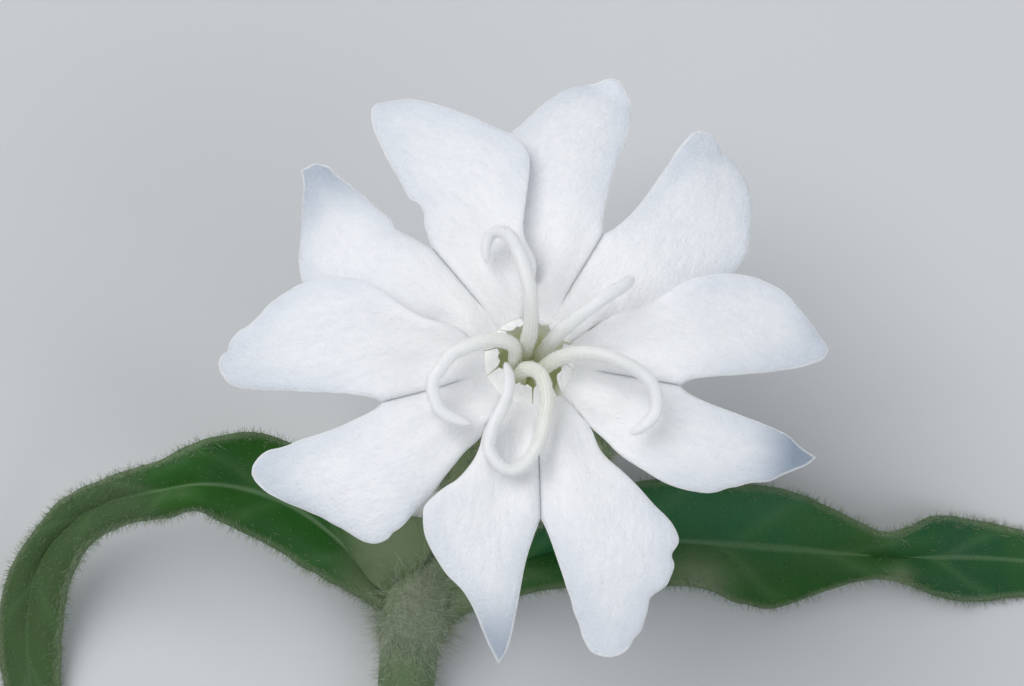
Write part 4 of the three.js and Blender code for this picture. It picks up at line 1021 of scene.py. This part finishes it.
for seed, (name, petal) in enumerate(PETALS.items(), 51):
    points, faces, marks = petal_sheet(petal, seed)
    radius, claw_mark, crease, tip_shade, glow = marks.T
    angle = np.arctan2(points[:, 1], points[:, 0]) - math.radians(petal["bearing"])
    run_across = np.sin(angle) * np.maximum(radius, 2.0) ** 0.65
    # soft lengthwise folds that fade outwards, and low swells, none on the claw
    limb = eased(radius, 2.8, 4.5)
    fold_line = np.column_stack([np.sin(angle) * 5.5, radius * 0.16, np.full(len(radius), 3.7 * seed)])
    folds = waves(fold_line, 1.0, seed) * (0.44 - 0.3 * eased(radius, 4, 11))
    swells = waves(points, 4.2, seed + 9) * 0.16 + waves(points, 1.3, seed + 19) * 0.03
    points[:, 2] += (folds + swells * eased(radius, 5, 9)) * limb
    body, closed, edge_mm = thin_body(points, faces, PETAL_THICKNESS, 0.4)
    marks = np.tile(np.column_stack([marks, edge_mm, run_across]), (2, 1))
    for turn in (-SCALE_SPREAD, SCALE_SPREAD):
        scale, scale_faces, scale_marks = scale_sheet(
            math.radians(petal["bearing"] + turn), math.radians(petal["scale_lean"]), seed * 30 + round(turn))
        flap, flap_faces, flap_edge = thin_body(scale, scale_faces, SCALE_THICKNESS, 0.2)
        closed += [tuple(i + len(body) for i in face) for face in flap_faces]
        body = np.vstack([body, flap])
        flap_marks = np.column_stack([scale_marks, flap_edge, scale[:, 0]])
        marks = np.vstack([marks, np.tile(flap_marks, (2, 1))])
    radius, claw_mark, crease, tip_shade, glow, edge_mm, run_across = marks.T
    limbs = make_piece(
        f"{name}_blade", in_flower(body), closed, petal_finish, radius=radius, claw=claw_mark, crease=crease,
        tip_shade=tip_shade, glow=glow, from_edge=edge_mm, run_across=run_across)
    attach(limbs, "root")
    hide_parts(name)

# The pistil: a green egg-shaped ovary on the calyx's floor, and five soft, translucent styles that grow from
# its top, come out of the throat and curl over the petals. Their outer halves are covered with fine down.
OVARY = [
    [0, -17.6], [1.3, -17.5], [2.0, -16.2], [2.5, -14.2], [2.5, -12.2], [2.0, -10.2], [1.2, -8.8], [0, -8.4],
]
OVARY_ROWS, OVARY_SIDES = 40, 48
STYLE_RADIUS = (0.42, 0.27)  # at its foot and at its tip
STYLE_SIDES, STYLE_STEP = 48, 0.14
STYLE_FLUTES, FLUTE_DEPTH, FLUTE_TWIST = 12, 0.035, 1.5
TAPERS_FROM = 0.94  # a style rounds off over the rest of its length
STYLES = [
    [
        [0.0, 0.7, -9.3], [0.0, 0.65, -4], [-0.15, 0.45, -1.8], [-0.2, 0.4, 0.2], [-0.1, 0.75, 1.8],
        [-0.1, 1.5, 2.7], [-0.2, 2.4, 3.3], [-0.5, 3.5, 3.4], [-0.9, 4.7, 3.1], [-1.4, 5.5, 2.5],
        [-1.9, 5.6, 2.0], [-2.2, 5.1, 1.7], [-2.2, 4.2, 1.6],
    ],
    [
        [0.67, 0.2, -9.3], [0.65, 0.2, -4], [0.45, 0.15, -1.8], [0.7, 0.35, -0.2], [1.2, 0.75, 1.1],
        [1.9, 1.2, 2.0], [2.7, 1.7, 2.5], [3.5, 2.3, 2.6], [4.3, 2.9, 2.4], [4.9, 3.5, 1.9],
    ],
    [
        [0.4, -0.55, -9.3], [0.45, -0.55, -4], [0.35, -0.5, -1.8], [0.65, -0.5, -0.2], [1.35, -0.35, 1.1],
        [2.4, -0.3, 1.9], [3.4, -0.5, 2.2], [4.3, -0.9, 2.3], [5.1, -1.3, 2.2], [5.7, -1.9, 2.1],
        [5.9, -2.6, 1.9], [5.8, -3.3, 1.7], [5.3, -3.8, 1.6], [4.7, -4.2, 1.5],
    ],
    [
        [-0.4, -0.55, -9.3], [-0.4, -0.55, -4], [-0.4, -0.65, -1.8], [-0.4, -0.75, 0.1], [-0.1, -0.85, 0.9],
        [0.35, -1.15, 1.3], [0.6, -1.8, 1.5], [0.7, -2.7, 1.5], [0.6, -3.5, 1.45], [0.4, -4.4, 1.4],
        [0.0, -5.2, 1.35], [-0.5, -5.8, 1.35], [-1.1, -6.0, 1.35], [-1.6, -5.7, 1.4], [-2.0, -5.1, 1.4],
        [-2.0, -4.5, 1.4], [-1.8, -3.8, 1.5], [-1.45, -3.1, 1.65], [-1.15, -2.3, 1.75], [-1.1, -1.5, 1.7],
        [-1.25, -0.7, 1.4],
    ],
    [
        [-0.67, 0.2, -9.3], [-0.7, 0.1, -4], [-0.7, 0.0, -1.8], [-0.75, -0.15, 0.2], [-0.85, 0.15, 1.2],
        [-1.4, 0.3, 1.7], [-2.2, 0.2, 1.95], [-3.0, -0.1, 2.05], [-3.8, -0.5, 2.0], [-4.3, -1.1, 1.9],
        [-4.7, -1.7, 1.75], [-4.7, -2.4, 1.6], [-4.4, -3.1, 1.5], [-3.8, -3.5, 1.4], [-2.9, -3.8, 1.4],
    ],
]

profile = Line([[r, 0, z] for r, z in OVARY]).at(np.linspace(0.004, 0.996, OVARY_ROWS))
turn = np.arange(OVARY_SIDES) / OVARY_SIDES * 2 * math.pi
grooved = 1 - 0.03 * (np.cos(5 * turn) < -0.6)
ovary = np.array([
    np.stack([r * grooved * np.cos(turn), r * grooved * np.sin(turn), np.full(OVARY_SIDES, z)], axis=1)
    for r, _, z in profile
])
pistil_points = [ovary.reshape(-1, 3)]
pistil_faces = skin_of((OVARY_ROWS, OVARY_SIDES))
pistil_faces.append(tuple(range(OVARY_SIDES))[::-1])
pistil_faces.append(tuple(range((OVARY_ROWS - 1) * OVARY_SIDES, OVARY_ROWS * OVARY_SIDES)))
count = OVARY_ROWS * OVARY_SIDES
style_share, flute = [np.full(count, -1.0)], [np.zeros(count)]
for number, route in enumerate(STYLES):
    line = Line(route)
    rings = int(line.length / STYLE_STEP)

    def style_radius(share, turn):
        past = max(share - TAPERS_FROM, 0) / (1 - TAPERS_FROM)
        taper = math.sqrt(max(1 - past**2, 0.02))
        body = STYLE_RADIUS[0] + (STYLE_RADIUS[1] - STYLE_RADIUS[0]) * share
        flat = 1 + 0.08 * np.cos(2 * turn + number)
        flutes = 1 + FLUTE_DEPTH * (1 - 0.8 * share) * np.cos(STYLE_FLUTES * turn + FLUTE_TWIST * share)
        return body * taper * flat * flutes * (1 + 0.02 * math.sin(share * line.length * 1.3 + number))

    tube = rings_along(line, rings, STYLE_SIDES, style_radius, (1, 0, 0)).reshape(-1, 3)
    tube = tube + waves(tube, 0.9, 71 + number)[:, None] * 0.02
    pistil_faces += [tuple(i + count for i in face) for face in skin_of((rings, STYLE_SIDES))]
    pistil_faces.append(tuple(range(count, count + STYLE_SIDES))[::-1])
    pistil_faces.append(tuple(range(count + (rings - 1) * STYLE_SIDES, count + rings * STYLE_SIDES)))
    count += rings * STYLE_SIDES
    pistil_points.append(tube)
    share = np.repeat(np.linspace(0, 1, rings), STYLE_SIDES)
    style_share.append(share)
    turn = np.tile((np.arange(STYLE_SIDES) + 0.5) / STYLE_SIDES * 2 * math.pi, rings)
    in_flute = 0.5 - 0.5 * np.cos(STYLE_FLUTES * turn + FLUTE_TWIST * share)
    flute.append(in_flute * (1 - eased(share, 0.5, 0.75)))
pistil_points = np.vstack(pistil_points)
style_share = np.concatenate(style_share)
out_of_throat = eased(pistil_points[:, 2], -3.5, 1.8)

pistil_finish = Finish(
    "pistil_pale_green", Roughness=0.4, Subsurface_Weight=0.8, Subsurface_Scale=0.0012,
    Subsurface_Radius=(1.0, 1.0, 0.9))
risen, on_style = pistil_finish.mark("out_of_throat"), pistil_finish.mark("style_share")
grain = pistil_finish.speckle(0.12, 2.0)
pistil_finish.colour(pistil_finish.over(
    pistil_finish.mix(risen, rgb(188, 193, 150), rgb(226, 227, 219)),
    (pistil_finish.step(on_style, 0.45, 0.9), rgb(234, 236, 238)),
    # painted shade: darker green-grey lines down the flutes' grooves, fading along each style
    (pistil_finish.mark("flute") * 0.4, rgb(186, 190, 164)),
    (pistil_finish.step(grain, 0.4, 0.7) * 0.12, rgb(226, 229, 222)),
    (1 - pistil_finish.step(on_style, -0.9, -0.1), rgb(122, 150, 72))))
# a faint painted glow on the ovary and the styles' feet, down in the throat
pistil_finish.glow(pistil_finish.mix(risen, rgb(58, 61, 38), rgb(0, 0, 0)))
pistil_finish.roughness(0.38 + 0.2 * grain)
pistil_finish.relief(grain, 0.02)
pistil = make_piece(
    "pistil_with_styles", in_flower(pistil_points), pistil_faces, pistil_finish, out_of_throat=out_of_throat,
    style_share=style_share, flute=np.concatenate(flute))
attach(pistil, "root")
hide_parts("pistil")

down_finish = Finish("style_down", Roughness=0.4)
down_finish.colour(down_finish.mix(down_finish.mark("up_hair"), rgb(240, 242, 238), rgb(248, 249, 250)))
style_down = grow_hairs(
    "style_down", pistil, down_finish, seed=81, count=9000, length=(0.06, 0.14), thickness=0.016, lean=0.4,
    density=(pistil_points[:, 2] > 0.5) * eased(style_share, 0.35, 0.6))
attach(style_down, "root")

# The studio: a plain pale table, one broad soft lamp high on the upper left, a weaker one on the right and an
# even pale surround. The camera looks straight down on the bloom, as in the photograph.
TABLE_SIZE, TABLE_LINES = 1.6, 9
CAMERA_AT = (-0.00527, 0.03918, 0.1610)

table_mesh = bpy.data.meshes.new("table")
ticks = np.linspace(-TABLE_SIZE / 2, TABLE_SIZE / 2, TABLE_LINES)
table_points = [(x, y, 0) for y in ticks for x in ticks]
corners = [r * TABLE_LINES + c for r in range(TABLE_LINES - 1) for c in range(TABLE_LINES - 1)]
table_faces = [(i, i + 1, i + TABLE_LINES + 1, i + TABLE_LINES) for i in corners]
table_mesh.from_pydata(table_points, [], table_faces)
table_finish = Finish("pale_table", Roughness=0.8)
table_finish.colour(table_finish.mix(table_finish.speckle(40.0, 2.0), rgb(204, 206, 209), rgb(209, 211, 213)))
table_mesh.materials.append(table_finish.material)
table = bpy.data.objects.new("table", table_mesh)
bpy.context.scene.collection.objects.link(table)


def soft_lamp(name, place, aim, size, watts, tint):
    lamp = bpy.data.lights.new(name, "AREA")
    lamp.shape, lamp.size, lamp.energy, lamp.color = "DISK", size, watts, tint
    holder = bpy.data.objects.new(name, lamp)
    holder.location = place
    holder.rotation_euler = (Vector(aim) - Vector(place)).to_track_quat("-Z", "Y").to_euler()
    bpy.context.scene.collection.objects.link(holder)


BLOOM = (-0.004, 0.038, 0.02)
soft_lamp("key_lamp", (-0.30, 0.34, 0.62), BLOOM, size=0.60, watts=3.65, tint=(1.0, 0.99, 0.98))
soft_lamp("fill_lamp", (0.50, -0.20, 0.50), BLOOM, size=0.60, watts=1.2, tint=(0.95, 0.97, 1.0))

surround = bpy.data.worlds.new("surround")
surround.use_nodes = True
surround.node_tree.nodes["Background"].inputs["Color"].default_value = (0.90, 0.94, 1.0, 1)
surround.node_tree.nodes["Background"].inputs["Strength"].default_value = 0.38
bpy.context.scene.world = surround
bpy.context.scene.view_settings.view_transform = "Standard"

lens = bpy.data.cameras.new("camera")
lens.lens, lens.sensor_width, lens.clip_start = 100, 36, 0.005
camera = bpy.data.objects.new("camera", lens)
camera.location = CAMERA_AT
bpy.context.scene.collection.objects.link(camera)
bpy.context.scene.camera = camera
